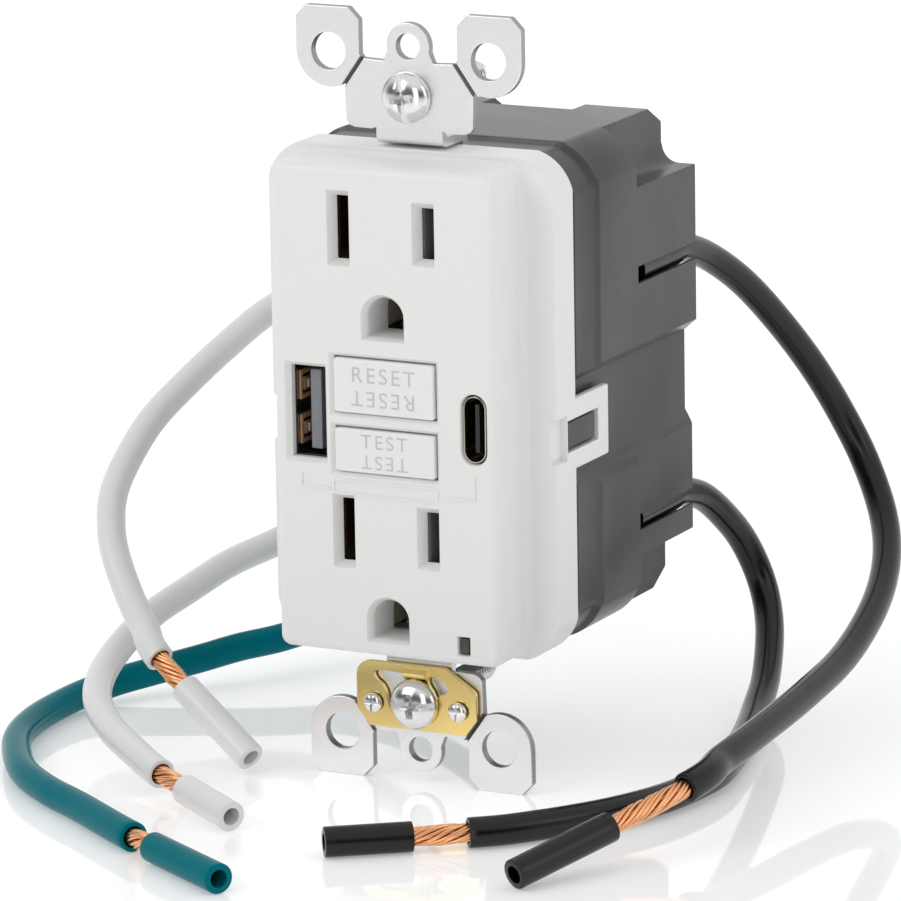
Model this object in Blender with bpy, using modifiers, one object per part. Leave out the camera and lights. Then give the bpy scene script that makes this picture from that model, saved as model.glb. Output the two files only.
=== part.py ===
"""Duplex GFCI receptacle with one USB-A and one USB-C outlet, on its mounting strap, with stripped leads.

Frame: X to the right of someone facing the receptacle, Y into the wall, Z up. The origin is half-way
between the two mounting screws, on the back plane of the strap's ears. Lengths are written in
millimetres and turned into metres by the helper functions.
"""
import math

import bmesh
import bpy
from mathutils import Matrix, Vector

MM = 0.001

# Driving dimensions, in millimetres -----------------------------------------------------------------
SCREW_PITCH = 83.3  # between the mounting screws, the standard device spacing
PLATE_HOLE_PITCH = 96.84  # between the wall-plate screw holes, the standard decorator spacing
STRAP_THICK = 1.3
EAR_TOP = 53.2  # half of the strap's length
FACE_HALF_WIDTH = 16.65
FACE_HALF_HEIGHT = 33.35
FACE_Y = -10.1  # front of the face
WALL = 1.7
FLANGE_HALF_WIDTH = 21.4
FLANGE_HALF_HEIGHT = 34.35
FLANGE_MIDDLE = 0.25  # the covers reach a little higher above the origin than below it
FLANGE_FRONT = -1.6
FLANGE_BACK = 4.45
FLANGE_WALL = 1.6
FLANGE_CORNER = 5.0
TUB_FRONT = 4.8
TUB_BACK = 23.5
TUB_HALF_WIDTH = 21.75
TUB_HALF_HEIGHT = 34.2
TUB_MIDDLE = 0.3
CORE_TOP = 34.4
CORE_BOTTOM = -33.5
CORE_CHAMFER = 2.3  # height of the slope at the core's back edges
CORE_SLOPE = 4.1  # depth of the same slope
HOUSING_BACK = 42.2
BLADE_X = 6.35  # half of the blade spacing
UPPER_BLADE_Z = 25.0
LOWER_BLADE_Z = -16.4
UPPER_PIN_Z = 13.2
LOWER_PIN_Z = -28.3
RESET_Z = 3.65
TEST_Z = -5.2
BUTTON_HALF_WIDTH = 7.45
BUTTON_GAP = 0.3
USB_A = (-11.7, -0.6)
USB_C = (13.35, -0.85)
LIGHT = (11.35, -30.7)
LATCH_Z = -3.65  # middle of the side latches
FRAME_FRONT = 8.4  # front of the middle frame's plate
FRAME_BACK = 10.4
BOARD_FRONT = 25.0
LEAD_RADIUS = 2.05
STRAND_RADIUS = 1.35
UPPER_LEAD = (19.1, 14.3)  # X and Z of the upper lead bores
LOWER_LEAD = (18.4, -20.6)
GROUND_LEAD = (-11.0, -27.0)
LEAD_BORE = 2.4
GROUND_BORE = 2.75
LEAD_STEP = 8.0  # distance between a lead tube's points
JOINT_GAP = 0.3  # between pieces that touch
STRAND_GAP = 0.6  # between the bared strands and the insulation, where the lead may still bend

# Routes of the leads, from inside the housing to the free end on the surface the object stands on.
WHITE_UPPER = [
    (-19.1, 27, 14.3), (-19.1, 38, 14.3), (-19.1, 43, 14.3), (-20.1, 50, 13.4), (-24.5, 58, 10.6),
    (-31.5, 63.5, 7.2), (-40, 64.5, 3.4), (-47.5, 60.5, 0.2), (-51.8, 53.5, -2.5), (-53.6, 44, -5.8),
    (-55.3, 35, -9.6), (-57.1, 28, -13.6), (-58, 22.5, -18), (-57.8, 17.6, -22), (-56.5, 14.2, -25.8),
    (-54.4, 11.5, -29.3), (-50.5, 8.2, -33.9), (-46, 4.6, -37.6), (-41.1, 0.6, -40.9), (-23.8, -6, -51.1),
]
WHITE_LOWER = [
    (-18.4, 27, -20.6), (-18.4, 38, -20.6), (-18.4, 43, -20.6), (-19.7, 50, -21.9), (-24.5, 57, -24.4),
    (-31.5, 60.8, -27.6), (-39.5, 60.6, -31.2), (-46.5, 57, -34.2), (-50.6, 51, -36.5),
    (-52.9, 42, -37.6), (-54.3, 32.5, -39.3), (-55.1, 22.5, -40.9), (-54.5, 12.1, -43.1),
    (-52.0, 2.2, -44.9), (-48, -5.5, -46.2), (-42.1, -12.1, -47.5), (-35.1, -18, -48.5),
    (-27.9, -23.3, -49.5), (-12.4, -32.4, -51.1),
]
GREEN_GROUND = [
    (-11, 32, -27), (-11, 38, -27), (-11, 43.5, -27), (-13.3, 51.5, -30), (-19.5, 58.5, -34.4),
    (-28, 59.5, -39), (-35.8, 53, -43.3), (-39.6, 45.5, -45.9), (-42.8, 39, -46.9), (-47.2, 33.9, -47.6),
    (-51, 29, -48.5), (-55.8, 22.9, -49.5), (-59.2, 18.7, -50.3), (-61.4, 12.4, -50.9),
    (-61.7, 5, -51.1), (-60.9, -1.8, -51.1), (-58.8, -9.1, -51.1), (-54.9, -16.3, -51.1),
    (-48.8, -24.6, -51.1), (-41.4, -31, -51.1), (-33.4, -36.3, -51.1), (-19.3, -46.2, -51.1),
    (-0.2, -58.1, -51.1),
]
BLACK_UPPER = [
    (19.1, 27, 14.3), (19.1, 38, 14.3), (19.1, 43, 14.3), (19.7, 50.2, 11.8), (21.7, 57.5, 6.9),
    (24.3, 63.8, 0.3), (27.3, 69.2, -7.3), (30.3, 72.9, -15.1), (33.9, 73, -21.9), (38.2, 69, -28.3),
    (41.6, 61.9, -32.9), (44, 51.9, -36.8), (45.6, 38.1, -40.2), (46.4, 22.8, -41.8), (46.8, 7.5, -42.8),
    (46.7, -4.7, -43.7), (46.1, -15, -45), (33.9, -41.2, -51.1),
]
BLACK_LOWER = [
    (18.4, 27, -20.6), (18.4, 38, -20.6), (18.4, 43, -20.6), (18.8, 49, -22.3), (19.6, 54.3, -25.9),
    (20.9, 59, -31), (23, 60.5, -37.1), (25.7, 57.1, -42.4), (28.8, 49, -47.5), (31, 40.9, -49.9),
    (33.6, 32, -50.9), (36, 22.5, -51.1), (37.9, 13.6, -51.1), (37.9, 7, -51.1), (36.3, -2.2, -51.1),
    (32.1, -11.8, -51.1), (25.1, -21.6, -51.1), (19.3, -26.9, -51.1), (4.4, -37.9, -51.1),
]
# name, route, length of the bared strands, length of the slug of insulation beyond them, colour
LEADS = [
    ("white_upper", WHITE_UPPER, 6.2, 15.5, "white_insulation"),
    ("white_lower", WHITE_LOWER, 6.4, 12.0, "white_insulation"),
    ("green_ground", GREEN_GROUND, 5.4, 17.5, "green_insulation"),
    ("black_upper", BLACK_UPPER, 13.2, 16.3, "black_insulation"),
    ("black_lower", BLACK_LOWER, 7.4, 11.8, "black_insulation"),
]

# Name: base colour, roughness, metallic
MATERIALS = {
    "white_plastic": ((0.86, 0.86, 0.85, 1), 0.38, 0.0),
    "dark_plastic": ((0.06, 0.06, 0.065, 1), 0.28, 0.0),
    "inner_plastic": ((0.10, 0.10, 0.11, 1), 0.5, 0.0),
    "zinc_steel": ((0.62, 0.62, 0.63, 1), 0.4, 1.0),
    "brass": ((0.78, 0.60, 0.25, 1), 0.3, 1.0),
    "bright_steel": ((0.75, 0.75, 0.77, 1), 0.22, 1.0),
    "usb_steel": ((0.55, 0.55, 0.57, 1), 0.25, 1.0),
    "black_plastic": ((0.03, 0.03, 0.03, 1), 0.35, 0.0),
    "smoked_clear": ((0.05, 0.035, 0.03, 1), 0.15, 0.0),
    "circuit_green": ((0.02, 0.20, 0.09, 1), 0.45, 0.0),
    "copper": ((0.85, 0.42, 0.22, 1), 0.3, 1.0),
    "fibre": ((0.30, 0.20, 0.12, 1), 0.8, 0.0),
    "ferrite": ((0.12, 0.12, 0.13, 1), 0.7, 0.0),
    "white_insulation": ((0.83, 0.83, 0.83, 1), 0.4, 0.0),
    "green_insulation": ((0.0, 0.20, 0.19, 1), 0.4, 0.0),
    "black_insulation": ((0.02, 0.02, 0.02, 1), 0.35, 0.0),
}


# Scene and helpers -----------------------------------------------------------------------------------
def clear_scene():
    """Removes every object of the open scene."""
    for obj in list(bpy.data.objects):
        bpy.data.objects.remove(obj, do_unlink=True)


def new_collection(name):
    """Returns a new collection linked to the scene."""
    coll = bpy.data.collections.new(name)
    bpy.context.scene.collection.children.link(coll)
    return coll


def make_material(name):
    """Returns the named Principled material, made once."""
    mat = bpy.data.materials.get(name)
    if mat:
        return mat
    colour, roughness, metallic = MATERIALS[name]
    mat = bpy.data.materials.new(name)
    mat.use_nodes = True
    shader = mat.node_tree.nodes["Principled BSDF"]
    shader.inputs["Base Color"].default_value = colour
    shader.inputs["Roughness"].default_value = roughness
    shader.inputs["Metallic"].default_value = metallic
    return mat


def add_object(name, mesh, origin):
    """Wraps a mesh written in world millimetres in an object whose origin is at the given point."""
    mesh.transform(Matrix.Translation(-Vector(origin)))
    mesh.transform(Matrix.Scale(MM, 4))
    obj = bpy.data.objects.new(name, mesh)
    obj.location = Vector(origin) * MM
    cutters.objects.link(obj)
    return obj


def box(name, low, high, bevel=0.0, segments=2, origin=None):
    """A box between two corners, with its edges rounded by a Bevel modifier."""
    size = Vector(high) - Vector(low)
    middle = (Vector(high) + Vector(low)) / 2
    bm = bmesh.new()
    bmesh.ops.create_cube(bm, size=1)
    bmesh.ops.scale(bm, vec=size, verts=bm.verts)
    bmesh.ops.translate(bm, vec=middle, verts=bm.verts)
    mesh = bpy.data.meshes.new(name)
    bm.to_mesh(mesh)
    bm.free()
    obj = add_object(name, mesh, origin or middle)
    if bevel:
        round_edges(obj, bevel, segments)
    return obj


def round_edges(obj, width, segments=2):
    """Adds a Bevel modifier that rounds the sharp edges."""
    bevel = obj.modifiers.new("Rounded edges", "BEVEL")
    bevel.width = width * MM
    bevel.segments = segments
    bevel.limit_method = "ANGLE"
    bevel.angle_limit = math.radians(40)


def axis_matrix(axis):
    """Turns local Z onto the named world axis."""
    return {
        "X": Matrix.Rotation(math.radians(90), 4, "Y"),
        "Y": Matrix.Rotation(math.radians(-90), 4, "X"),
        "Z": Matrix.Identity(4),
    }[axis]


def rod(name, centre, radius, length, axis="Y", sides=20, origin=None):
    """A cylinder centred on a point."""
    bm = bmesh.new()
    bmesh.ops.create_cone(
        bm, cap_ends=True, segments=sides, radius1=radius, radius2=radius, depth=length
    )
    bmesh.ops.transform(bm, matrix=Matrix.Translation(centre) @ axis_matrix(axis), verts=bm.verts)
    mesh = bpy.data.meshes.new(name)
    bm.to_mesh(mesh)
    bm.free()
    obj = add_object(name, mesh, origin or centre)
    smooth(obj)
    return obj


def smooth(obj):
    """Shades a mesh smooth except at its sharp edges."""
    obj.data.shade_smooth()
    obj.data.set_sharp_from_angle(angle=math.radians(40))


def turned(name, profile, start, axis="Y", sides=20, closed=False):
    """A turned piece: (radius, distance along the axis) pairs, from the far end down the outside.

    An open profile starts and ends on the axis; a closed one is the section of a ring.
    """
    mesh = bpy.data.meshes.new(name)
    points = [(r * MM, 0, d * MM) for r, d in profile]
    edges = [(i, i + 1) for i in range(len(points) - 1)]
    if closed:
        edges.append((len(points) - 1, 0))
    mesh.from_pydata(points, edges, [])
    obj = bpy.data.objects.new(name, mesh)
    obj.matrix_world = Matrix.Translation(Vector(start) * MM) @ axis_matrix(axis)
    cutters.objects.link(obj)
    screw = obj.modifiers.new("Turn", "SCREW")
    screw.steps = sides
    screw.render_steps = sides
    screw.use_merge_vertices = True
    screw.merge_threshold = 0.00001
    return obj


def plate(name, outline, low, high, axis="Y", holes=(), origin=None):
    """A flat outline with holes, filled as a 2D curve and given its thickness along an axis.

    The outline's pairs are (X, Z) for a plate facing Y, (Y, Z) for X and (X, Y) for Z.
    """
    curve = bpy.data.curves.new(name, "CURVE")
    curve.dimensions = "2D"
    curve.fill_mode = "BOTH"
    curve.extrude = (high - low) / 2
    for loop in [outline, *holes]:
        spline = curve.splines.new("POLY")
        spline.points.add(len(loop) - 1)
        for point, (u, v) in zip(spline.points, loop):
            point.co = (u, v, 0, 1)
        spline.use_cyclic_u = True
    columns = {
        "Y": ((1, 0, 0), (0, 0, 1), (0, -1, 0)),
        "X": ((0, 1, 0), (0, 0, 1), (1, 0, 0)),
        "Z": ((1, 0, 0), (0, 1, 0), (0, 0, 1)),
    }[axis]
    turn = Matrix(columns).transposed().to_4x4()
    shift = {"X": (1, 0, 0), "Y": (0, 1, 0), "Z": (0, 0, 1)}[axis]
    mesh = curve_mesh(curve)
    mesh.transform(Matrix.Translation(Vector(shift) * (low + high) / 2) @ turn)
    middle = sum((v.co for v in mesh.vertices), Vector()) / len(mesh.vertices)
    return add_object(name, mesh, origin or middle)


def curve_mesh(curve):
    """Turns a curve into a closed mesh with its caps welded, and removes the curve."""
    guide = bpy.data.objects.new(curve.name, curve)
    bpy.context.scene.collection.objects.link(guide)
    bpy.context.view_layer.update()
    mesh = bpy.data.meshes.new_from_object(guide.evaluated_get(bpy.context.evaluated_depsgraph_get()))
    bm = bmesh.new()
    bm.from_mesh(mesh)
    bmesh.ops.remove_doubles(bm, verts=bm.verts, dist=0.001)
    bmesh.ops.recalc_face_normals(bm, faces=bm.faces)
    bm.to_mesh(mesh)
    bm.free()
    bpy.data.objects.remove(guide)
    bpy.data.curves.remove(curve)
    return mesh


def tube(name, points, radius):
    """A round rod along points, as a POLY curve with filled caps."""
    curve = bpy.data.curves.new(name, "CURVE")
    curve.dimensions = "3D"
    curve.bevel_depth = radius * MM
    curve.bevel_resolution = 2
    curve.use_fill_caps = True
    spline = curve.splines.new("POLY")
    spline.points.add(len(points) - 1)
    for point, place in zip(spline.points, points):
        point.co = (*(Vector(place) * MM), 1)
    obj = bpy.data.objects.new(name, curve)
    cutters.objects.link(obj)
    return obj


def coil(name, centre, radius, wire, low, high, turns, axis="Y", points_per_turn=10):
    """A compression spring: a helix about an axis through centre, between two places along it."""
    turn = axis_matrix(axis)
    count = turns * points_per_turn
    first = low + wire
    rise = (high - wire - first) / count
    points = []
    for i in range(count + 1):
        angle = 2 * math.pi * i / points_per_turn
        local = Vector((radius * math.cos(angle), radius * math.sin(angle), first + rise * i))
        points.append(Vector(centre) + turn @ local)
    return tube(name, points, wire)


def arc(cx, cz, radius, start, end, steps):
    """Points along an arc, in degrees."""
    angles = [math.radians(start + (end - start) * i / steps) for i in range(steps + 1)]
    return [(cx + radius * math.cos(a), cz + radius * math.sin(a)) for a in angles]


def circle(cx, cz, radius, steps=20):
    """Points round a full circle, once."""
    return arc(cx, cz, radius, 0, 360, steps)[:-1]


def rounded_rect(half_width, half_height, radius, steps=5, cx=0.0, cz=0.0):
    """Outline of a rectangle with round corners."""
    x, z = half_width - radius, half_height - radius
    corners = [(x, z, 0), (-x, z, 90), (-x, -z, 180), (x, -z, 270)]
    return [p for dx, dz, a in corners for p in arc(cx + dx, cz + dz, radius, a, a + 90, steps)]


def across(side, near, far):
    """Two X limits on the given side of the middle, the lower one first."""
    return sorted((side * near, side * far))


def boolean(target, tool, operation):
    """Adds an exact Boolean modifier."""
    modifier = target.modifiers.new(f"{operation.title()} {tool.name}", "BOOLEAN")
    modifier.operation = operation
    modifier.solver = "EXACT"
    modifier.object = tool
    tool.hide_render = True
    tool.display_type = "WIRE"


def cut(target, *tools):
    """Takes each tool's volume out of the target."""
    for tool in tools:
        boolean(target, tool, "DIFFERENCE")
    return target


def join(target, *tools):
    """Adds each tool's volume to the target."""
    for tool in tools:
        boolean(target, tool, "UNION")
    return target


def finish(obj, material, name=None):
    """Makes an object one of the assembly's pieces, with its material."""
    if name:
        obj.name = name
    cutters.objects.unlink(obj)
    parts.objects.link(obj)
    obj.data.materials.clear()
    obj.data.materials.append(make_material(material))
    return obj


# Covers -----------------------------------------------------------------------------------------------
def make_front_cover():
    """White face and flange, open at the back, with the outlet openings and two side latch loops."""
    cover = box(
        "front_cover",
        (-FACE_HALF_WIDTH, FACE_Y, -FACE_HALF_HEIGHT),
        (FACE_HALF_WIDTH, 0.0, FACE_HALF_HEIGHT),
        bevel=0.8,
        origin=(0, 0, 0),
    )
    flange = rounded_rect(FLANGE_HALF_WIDTH, FLANGE_HALF_HEIGHT, FLANGE_CORNER, cz=FLANGE_MIDDLE)
    join(cover, plate("flange", flange, FLANGE_FRONT, FLANGE_BACK))
    for side in (-1, 1):
        x_in, x_out = across(side, 20.3, FLANGE_HALF_WIDTH)
        loop = box(f"loop {side}", (x_in, 3.0, LATCH_Z - 4.85), (x_out, 14.5, LATCH_Z + 4.85), 0.3, 1)
        join(cover, loop)
    inner = rounded_rect(
        FLANGE_HALF_WIDTH - FLANGE_WALL, FLANGE_HALF_HEIGHT - FLANGE_WALL, FLANGE_CORNER - FLANGE_WALL,
        cz=FLANGE_MIDDLE,
    )
    cut(
        cover,
        box("face hollow", (-15.05, FACE_Y + WALL, -32.0), (15.05, 2.0, 32.0)),
        plate("flange hollow", inner, FLANGE_FRONT + FLANGE_WALL, FLANGE_BACK + 1),
    )
    for side in (-1, 1):
        x_in, x_out = across(side, 19.0, 23.0)
        window = box(f"latch window {side}", (x_in, 1.8, LATCH_Z - 2.2), (x_out, 11.2, LATCH_Z + 2.2))
        x_in, x_out = across(side, 20.45, 23.0)
        notch = box(f"latch notch {side}", (x_in, -4.0, LATCH_Z - 3.2), (x_out, 1.6, LATCH_Z + 3.0))
        cut(cover, window, notch)
    cut_outlets(cover)
    cut_buttons(cover)
    cut_usb(cover)
    return finish(cover, "white_plastic")


def cut_outlets(cover):
    """Two outlets: a long neutral slot, a shorter hot slot and a ground hole with a round top."""
    front, back = FACE_Y - 1, FACE_Y + WALL + 1
    for blade_z, pin_z in ((UPPER_BLADE_Z, UPPER_PIN_Z), (LOWER_BLADE_Z, LOWER_PIN_Z)):
        for x, half_height in ((-BLADE_X, 4.3), (BLADE_X, 3.45)):
            slot = box(
                "blade slot", (x - 1.1, front, blade_z - half_height), (x + 1.1, back, blade_z + half_height)
            )
            cut(cover, slot)
        arch = [(-2.75, pin_z - 2.85), (2.75, pin_z - 2.85), *arc(0, pin_z, 2.75, 0, 180, 10)]
        cut(cover, plate("ground hole", arch, front, back))


def cut_buttons(cover):
    """Openings for the reset and test buttons."""
    half = BUTTON_HALF_WIDTH + BUTTON_GAP
    for name, z, half_height in (("reset", RESET_Z, 3.7), ("test", TEST_Z, 2.95)):
        low = (-half, FACE_Y - 1, z - half_height - BUTTON_GAP)
        high = (half, FACE_Y + WALL + 1, z + half_height + BUTTON_GAP)
        cut(cover, box(f"{name} opening", low, high))


def cut_usb(cover):
    """Openings for the two USB sockets and the status light."""
    front, back = FACE_Y - 1, FACE_Y + WALL + 1
    x, z = USB_A
    cut(cover, box("usb a opening", (x - 2.6, front, z - 6.35), (x + 2.6, back, z + 6.35)))
    x, z = USB_C
    cut(cover, plate("usb c opening", rounded_rect(1.95, 4.85, 1.94, 5, x, z), front, back))
    x, z = LIGHT
    cut(cover, box("light opening", (x - 0.95, front, z - 1.35), (x + 0.95, back, z + 1.35)))


def make_rear_housing():
    """Dark housing: a tub behind the flange, a narrower core, and blocks at the sides for the leads."""
    outline = rounded_rect(TUB_HALF_WIDTH, TUB_HALF_HEIGHT, FLANGE_CORNER + 0.8, cz=TUB_MIDDLE)
    housing = plate("rear_housing", outline, TUB_FRONT, TUB_BACK, origin=(0, 0, 0))
    core = [
        (TUB_BACK - 4, CORE_BOTTOM), (HOUSING_BACK - CORE_SLOPE, CORE_BOTTOM),
        (HOUSING_BACK, CORE_BOTTOM + CORE_CHAMFER), (HOUSING_BACK, CORE_TOP - CORE_CHAMFER),
        (HOUSING_BACK - CORE_SLOPE, CORE_TOP), (TUB_BACK - 4, CORE_TOP),
    ]
    join(housing, plate("core", core, -FACE_HALF_WIDTH, FACE_HALF_WIDTH, "X"))
    for side in (-1, 1):
        blocks = [
            (13, 26.4), (21.7, 26.4), (21.7, 4.6), (19.75, 2.9), (19.75, -8.3), (20.9, -10.4),
            (20.9, -25.3), (13, -25.3),
        ]
        outline = [(side * x, z) for x, z in blocks]
        join(housing, plate(f"blocks {side}", outline, TUB_BACK - 3, HOUSING_BACK + 0.1))
    hollow_housing(housing)
    for side in (-1, 1):
        hook_in, hook_out = across(side, 19.0, 21.1)
        join(housing, box(f"hook {side}", (hook_in, 2.3, LATCH_Z - 1.8), (hook_out, 10.7, LATCH_Z + 1.8)))
    return finish(housing, "dark_plastic")


def hollow_housing(housing):
    """Cuts the hollow, the latch recesses, the strap notches and the lead bores."""
    cut(
        housing,
        plate("tub hollow", rounded_rect(18.4, 32.6, 2.5, 3), TUB_FRONT - 1, TUB_BACK - 1.6),
        box("core hollow", (-15.05, TUB_BACK - 2.5, -31.9), (15.05, 32.4, 31.9)),
        box("rear hollow", (-15.05, 32.0, -31.2), (15.05, HOUSING_BACK - 1.8, 16.4)),
        box("rear recess", (-7.0, 34.0, 18.0), (7.0, HOUSING_BACK + 2, 40.0)),
    )
    for side in (-1, 1):
        near, far = across(side, 8.6, 15.0)
        pocket = box(f"upper pocket {side}", (near, 32.1, 16.0), (far, HOUSING_BACK - 1.9, 31.0))
        near, far = across(side, 20.0, 23.0)
        recess = box(f"loop recess {side}", (near, 3.0, LATCH_Z - 5.2), (far, 14.9, LATCH_Z + 5.2))
        low, high = across(side, 31.0, 36.0)
        notch = box(f"strap notch {side}", (-5.4, 3.0, low), (5.4, 6.6, high))
        cut(housing, pocket, recess, notch)
        for (x, z), half_slot in ((UPPER_LEAD, 1.2), (LOWER_LEAD, 1.15)):
            bore = rod(f"lead bore {side}", (side * x, 32.5, z), LEAD_BORE, 23.0)
            near, far = across(side, x, 23.0)
            slot = box(
                f"lead slot {side}", (near, TUB_BACK + 0.1, z - half_slot), (far, 44.0, z + half_slot)
            )
            cut(housing, bore, slot)
    x, z = GROUND_LEAD
    cut(housing, rod("ground lead bore", (x, 42.0, z), GROUND_BORE, 6.0))


def make_middle_frame():
    """Insulating tray between the outlet contacts and the fault-sensing board."""
    outline = rounded_rect(18.0, 32.2, 2.6, 3)
    frame = plate("middle_frame", outline, 5.0, FRAME_BACK, origin=(0, 0, 0))
    cut(frame, box("tray", (-16.8, 4.0, -31.0), (16.8, FRAME_FRONT, 31.0)))
    cut(frame, rod("pin hole", (0, FRAME_BACK, RESET_Z), 1.7, 8.0, sides=16))
    for side in (-1, 1):
        near, far = across(side, 6.9, 8.1)
        cut(frame, box(f"tail slot {side}", (near, 7.0, 9.4), (far, 12.0, 13.0)))
        low, high = across(side, 30.0, 34.0)
        cut(frame, box(f"strap notch in frame {side}", (-5.5, 4.0, low), (5.5, 6.5, high)))
    x, z = LIGHT
    cut(frame, box("light notch", (x - 1.1, 3.0, -34.0), (x + 1.1, 12.0, z + 1.5)))
    return finish(frame, "inner_plastic")


# Strap, ground plate and fasteners ------------------------------------------------------------------
def strap_end(sign):
    """Outline of one end of the strap: neck, plate, two plaster ears and the wall-plate tab."""
    half = [
        (5.0, 35.2), (5.0, 36.6), (5.4, 36.9), (8.6, 37.05), (9.55, 37.9),
        *arc(11.95, 47.1, 4.9, -118, 0, 7),
        (16.85, 51.6), (15.3, EAR_TOP), (8.9, EAR_TOP), (7.3, 51.6), (7.3, 46.5), (3.2, 46.3),
        *arc(0, PLATE_HOLE_PITCH / 2, 3.2, 0, 80, 4),
    ]
    outline = half + [(-x, z) for x, z in reversed(half)]
    return [(x, sign * z) for x, z in outline]


def make_mounting_strap():
    """Steel strap: two pierced ends joined by a band that runs through the body behind the contacts."""
    holes = {}
    for sign in (-1, 1):
        holes[sign] = [
            circle(-11.95, sign * 47.1, 2.55), circle(11.95, sign * 47.1, 2.55),
            circle(0, sign * PLATE_HOLE_PITCH / 2, 1.75), circle(0, sign * SCREW_PITCH / 2, 2.05),
        ]
    holes[-1] += [circle(-6.45, -42.2, 1.1, 12), circle(6.45, -42.2, 1.1, 12)]
    strap = plate("mounting_strap", strap_end(1), -STRAP_THICK, 0, holes=holes[1], origin=(0, 0, 0))
    lower = plate("strap lower end", strap_end(-1), -STRAP_THICK, 0, holes=holes[-1])
    section = [
        (-1.25, 37.4), (-0.05, 37.4), (-0.05, 36.3), (6.1, 36.3), (6.1, -36.3), (-0.05, -36.3),
        (-0.05, -37.4), (-1.25, -37.4), (-1.25, -35.0), (4.8, -35.0), (4.8, 35.0), (-1.25, 35.0),
    ]
    band = plate("strap band", section, -4.95, 4.95, "X")
    wide = box("strap widening", (-8.6, 4.85, -12.0), (8.6, 6.05, 9.4))
    window = box("strap window", (-6.2, 4.0, -10.0), (6.2, 7.0, 7.8))
    join(strap, lower, band, wide)
    cut(strap, window)
    return finish(strap, "zinc_steel")


def make_ground_plate():
    """Brass self-grounding plate on the lower strap end, with a pierced spring tongue at the screw."""
    outline = [
        (-9.0, -38.2), (-7.3, -36.4), (7.3, -36.4), (9.0, -38.2), (9.0, -43.6), (7.4, -45.6),
        (-7.4, -45.6), (-9.0, -43.6),
    ]
    z = -SCREW_PITCH / 2
    kidneys = [
        arc(0, z, 5.2, a, a + 62, 6) + arc(0, z, 3.9, a + 62, a, 6) for a in (16, 102)
    ]
    holes = [circle(0, z, 2.05), circle(-6.45, -42.2, 1.1, 12), circle(6.45, -42.2, 1.1, 12), *kidneys]
    back = -STRAP_THICK - JOINT_GAP
    return finish(plate("ground_plate", outline, back - 0.7, back, holes=holes), "brass")


def make_ground_rivets():
    """Two slotted rivets that hold the ground plate to the strap."""
    for name, side in (("ground_rivet_left", -1), ("ground_rivet_right", 1)):
        profile = [
            (0, 0.9), (1.3, 0.9), (1.3, 0.3), (0.8, 0.3), (0.8, -2.6), (1.35, -2.6), (1.35, -2.95),
            (0.9, -3.25), (0, -3.3),
        ]
        finish(turned(name, profile, (side * 6.45, 0, -42.2), sides=16), "bright_steel")


def make_mounting_screw(name, sign, seat):
    """Pan-head 6-32 screw with a combination recess; its shank points into the wall."""
    z = sign * SCREW_PITCH / 2
    profile = [
        (0, 19.6), (0.9, 19.6), (1.65, 18.8), (1.65, seat), (3.45, seat), (3.5, seat - 0.7),
        (2.9, seat - 1.6), (1.6, seat - 2.1), (0, seat - 2.25),
    ]
    screw = turned(name, profile, (0, 0, z))
    front = seat - 3
    cut(
        screw,
        box(f"slot of {name}", (-4, front, z - 0.35), (4, seat - 1.2, z + 0.35)),
        box(f"cross of {name}", (-0.35, front, z - 1.6), (0.35, seat - 1.0, z + 1.6)),
    )
    return finish(screw, "bright_steel")


def make_screw_retainer(name, sign):
    """Fibre washer on the shank behind the strap, which keeps a mounting screw in place."""
    ring = [(3.2, 1.1), (3.2, 0.3), (1.95, 0.3), (1.95, 1.1)]
    washer = turned(name, ring, (0, 0, sign * SCREW_PITCH / 2), sides=16, closed=True)
    return finish(washer, "fibre")


# Buttons and the trip mechanism ---------------------------------------------------------------------
def make_button(name, z, half_height, stem_radius, stem_end):
    """A rectangular push button with a lip behind the face and a stem."""
    front = FACE_Y - 0.15
    button = box(
        name, (-BUTTON_HALF_WIDTH, front, z - half_height), (BUTTON_HALF_WIDTH, -7.6, z + half_height),
        bevel=0.25, segments=1, origin=(0, front, z),
    )
    lip = box(
        f"{name} lip", (-8.4, -8.05, z - half_height - 0.6), (8.4, -7.3, z + half_height + 0.6)
    )
    join(button, lip)
    if stem_radius:
        middle = (stem_end - 7.5) / 2
        join(button, rod(f"{name} stem", (0, middle, z), stem_radius, stem_end + 7.5, sides=12))
    return finish(button, "white_plastic")


def make_reset_pin():
    """Steel pin behind the reset button, with the neck that the latch plate catches."""
    profile = [
        (0, 20.2), (0.5, 20.2), (1.15, 19.2), (0.8, 19.0), (0.8, 17.6), (1.2, 17.4), (1.2, -6.2),
        (2.2, -6.2), (2.2, -7.0), (0, -7.0),
    ]
    return finish(turned("reset_pin", profile, (0, 0, RESET_Z), sides=14), "bright_steel")


def make_contact_carrier():
    """Plastic carrier that lifts the moving contacts when the latch holds the reset pin."""
    carrier = box("contact_carrier", (-13.0, 14.5, 0.5), (13.0, 17.0, 13.0), bevel=0.4, segments=1)
    boss = rod("carrier boss", (0, 14.6, RESET_Z), 3.0, 4.6, sides=16)
    join(carrier, boss)
    cut(carrier, rod("carrier bore", (0, 14.0, RESET_Z), 1.6, 10.0, sides=16))
    return finish(carrier, "inner_plastic")


def make_moving_contact(name, side):
    """Brass strip on the carrier with a rounded contact tip."""
    low_x, high_x = across(side, 6.0, 13.6)
    strip = box(name, (low_x, 13.6, 9.9), (high_x, 14.2, 12.5))
    tip = rod(f"{name} tip", (side * 12.0, 13.3, 11.2), 1.1, 0.8, sides=14)
    join(strip, tip)
    return finish(strip, "brass")


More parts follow.
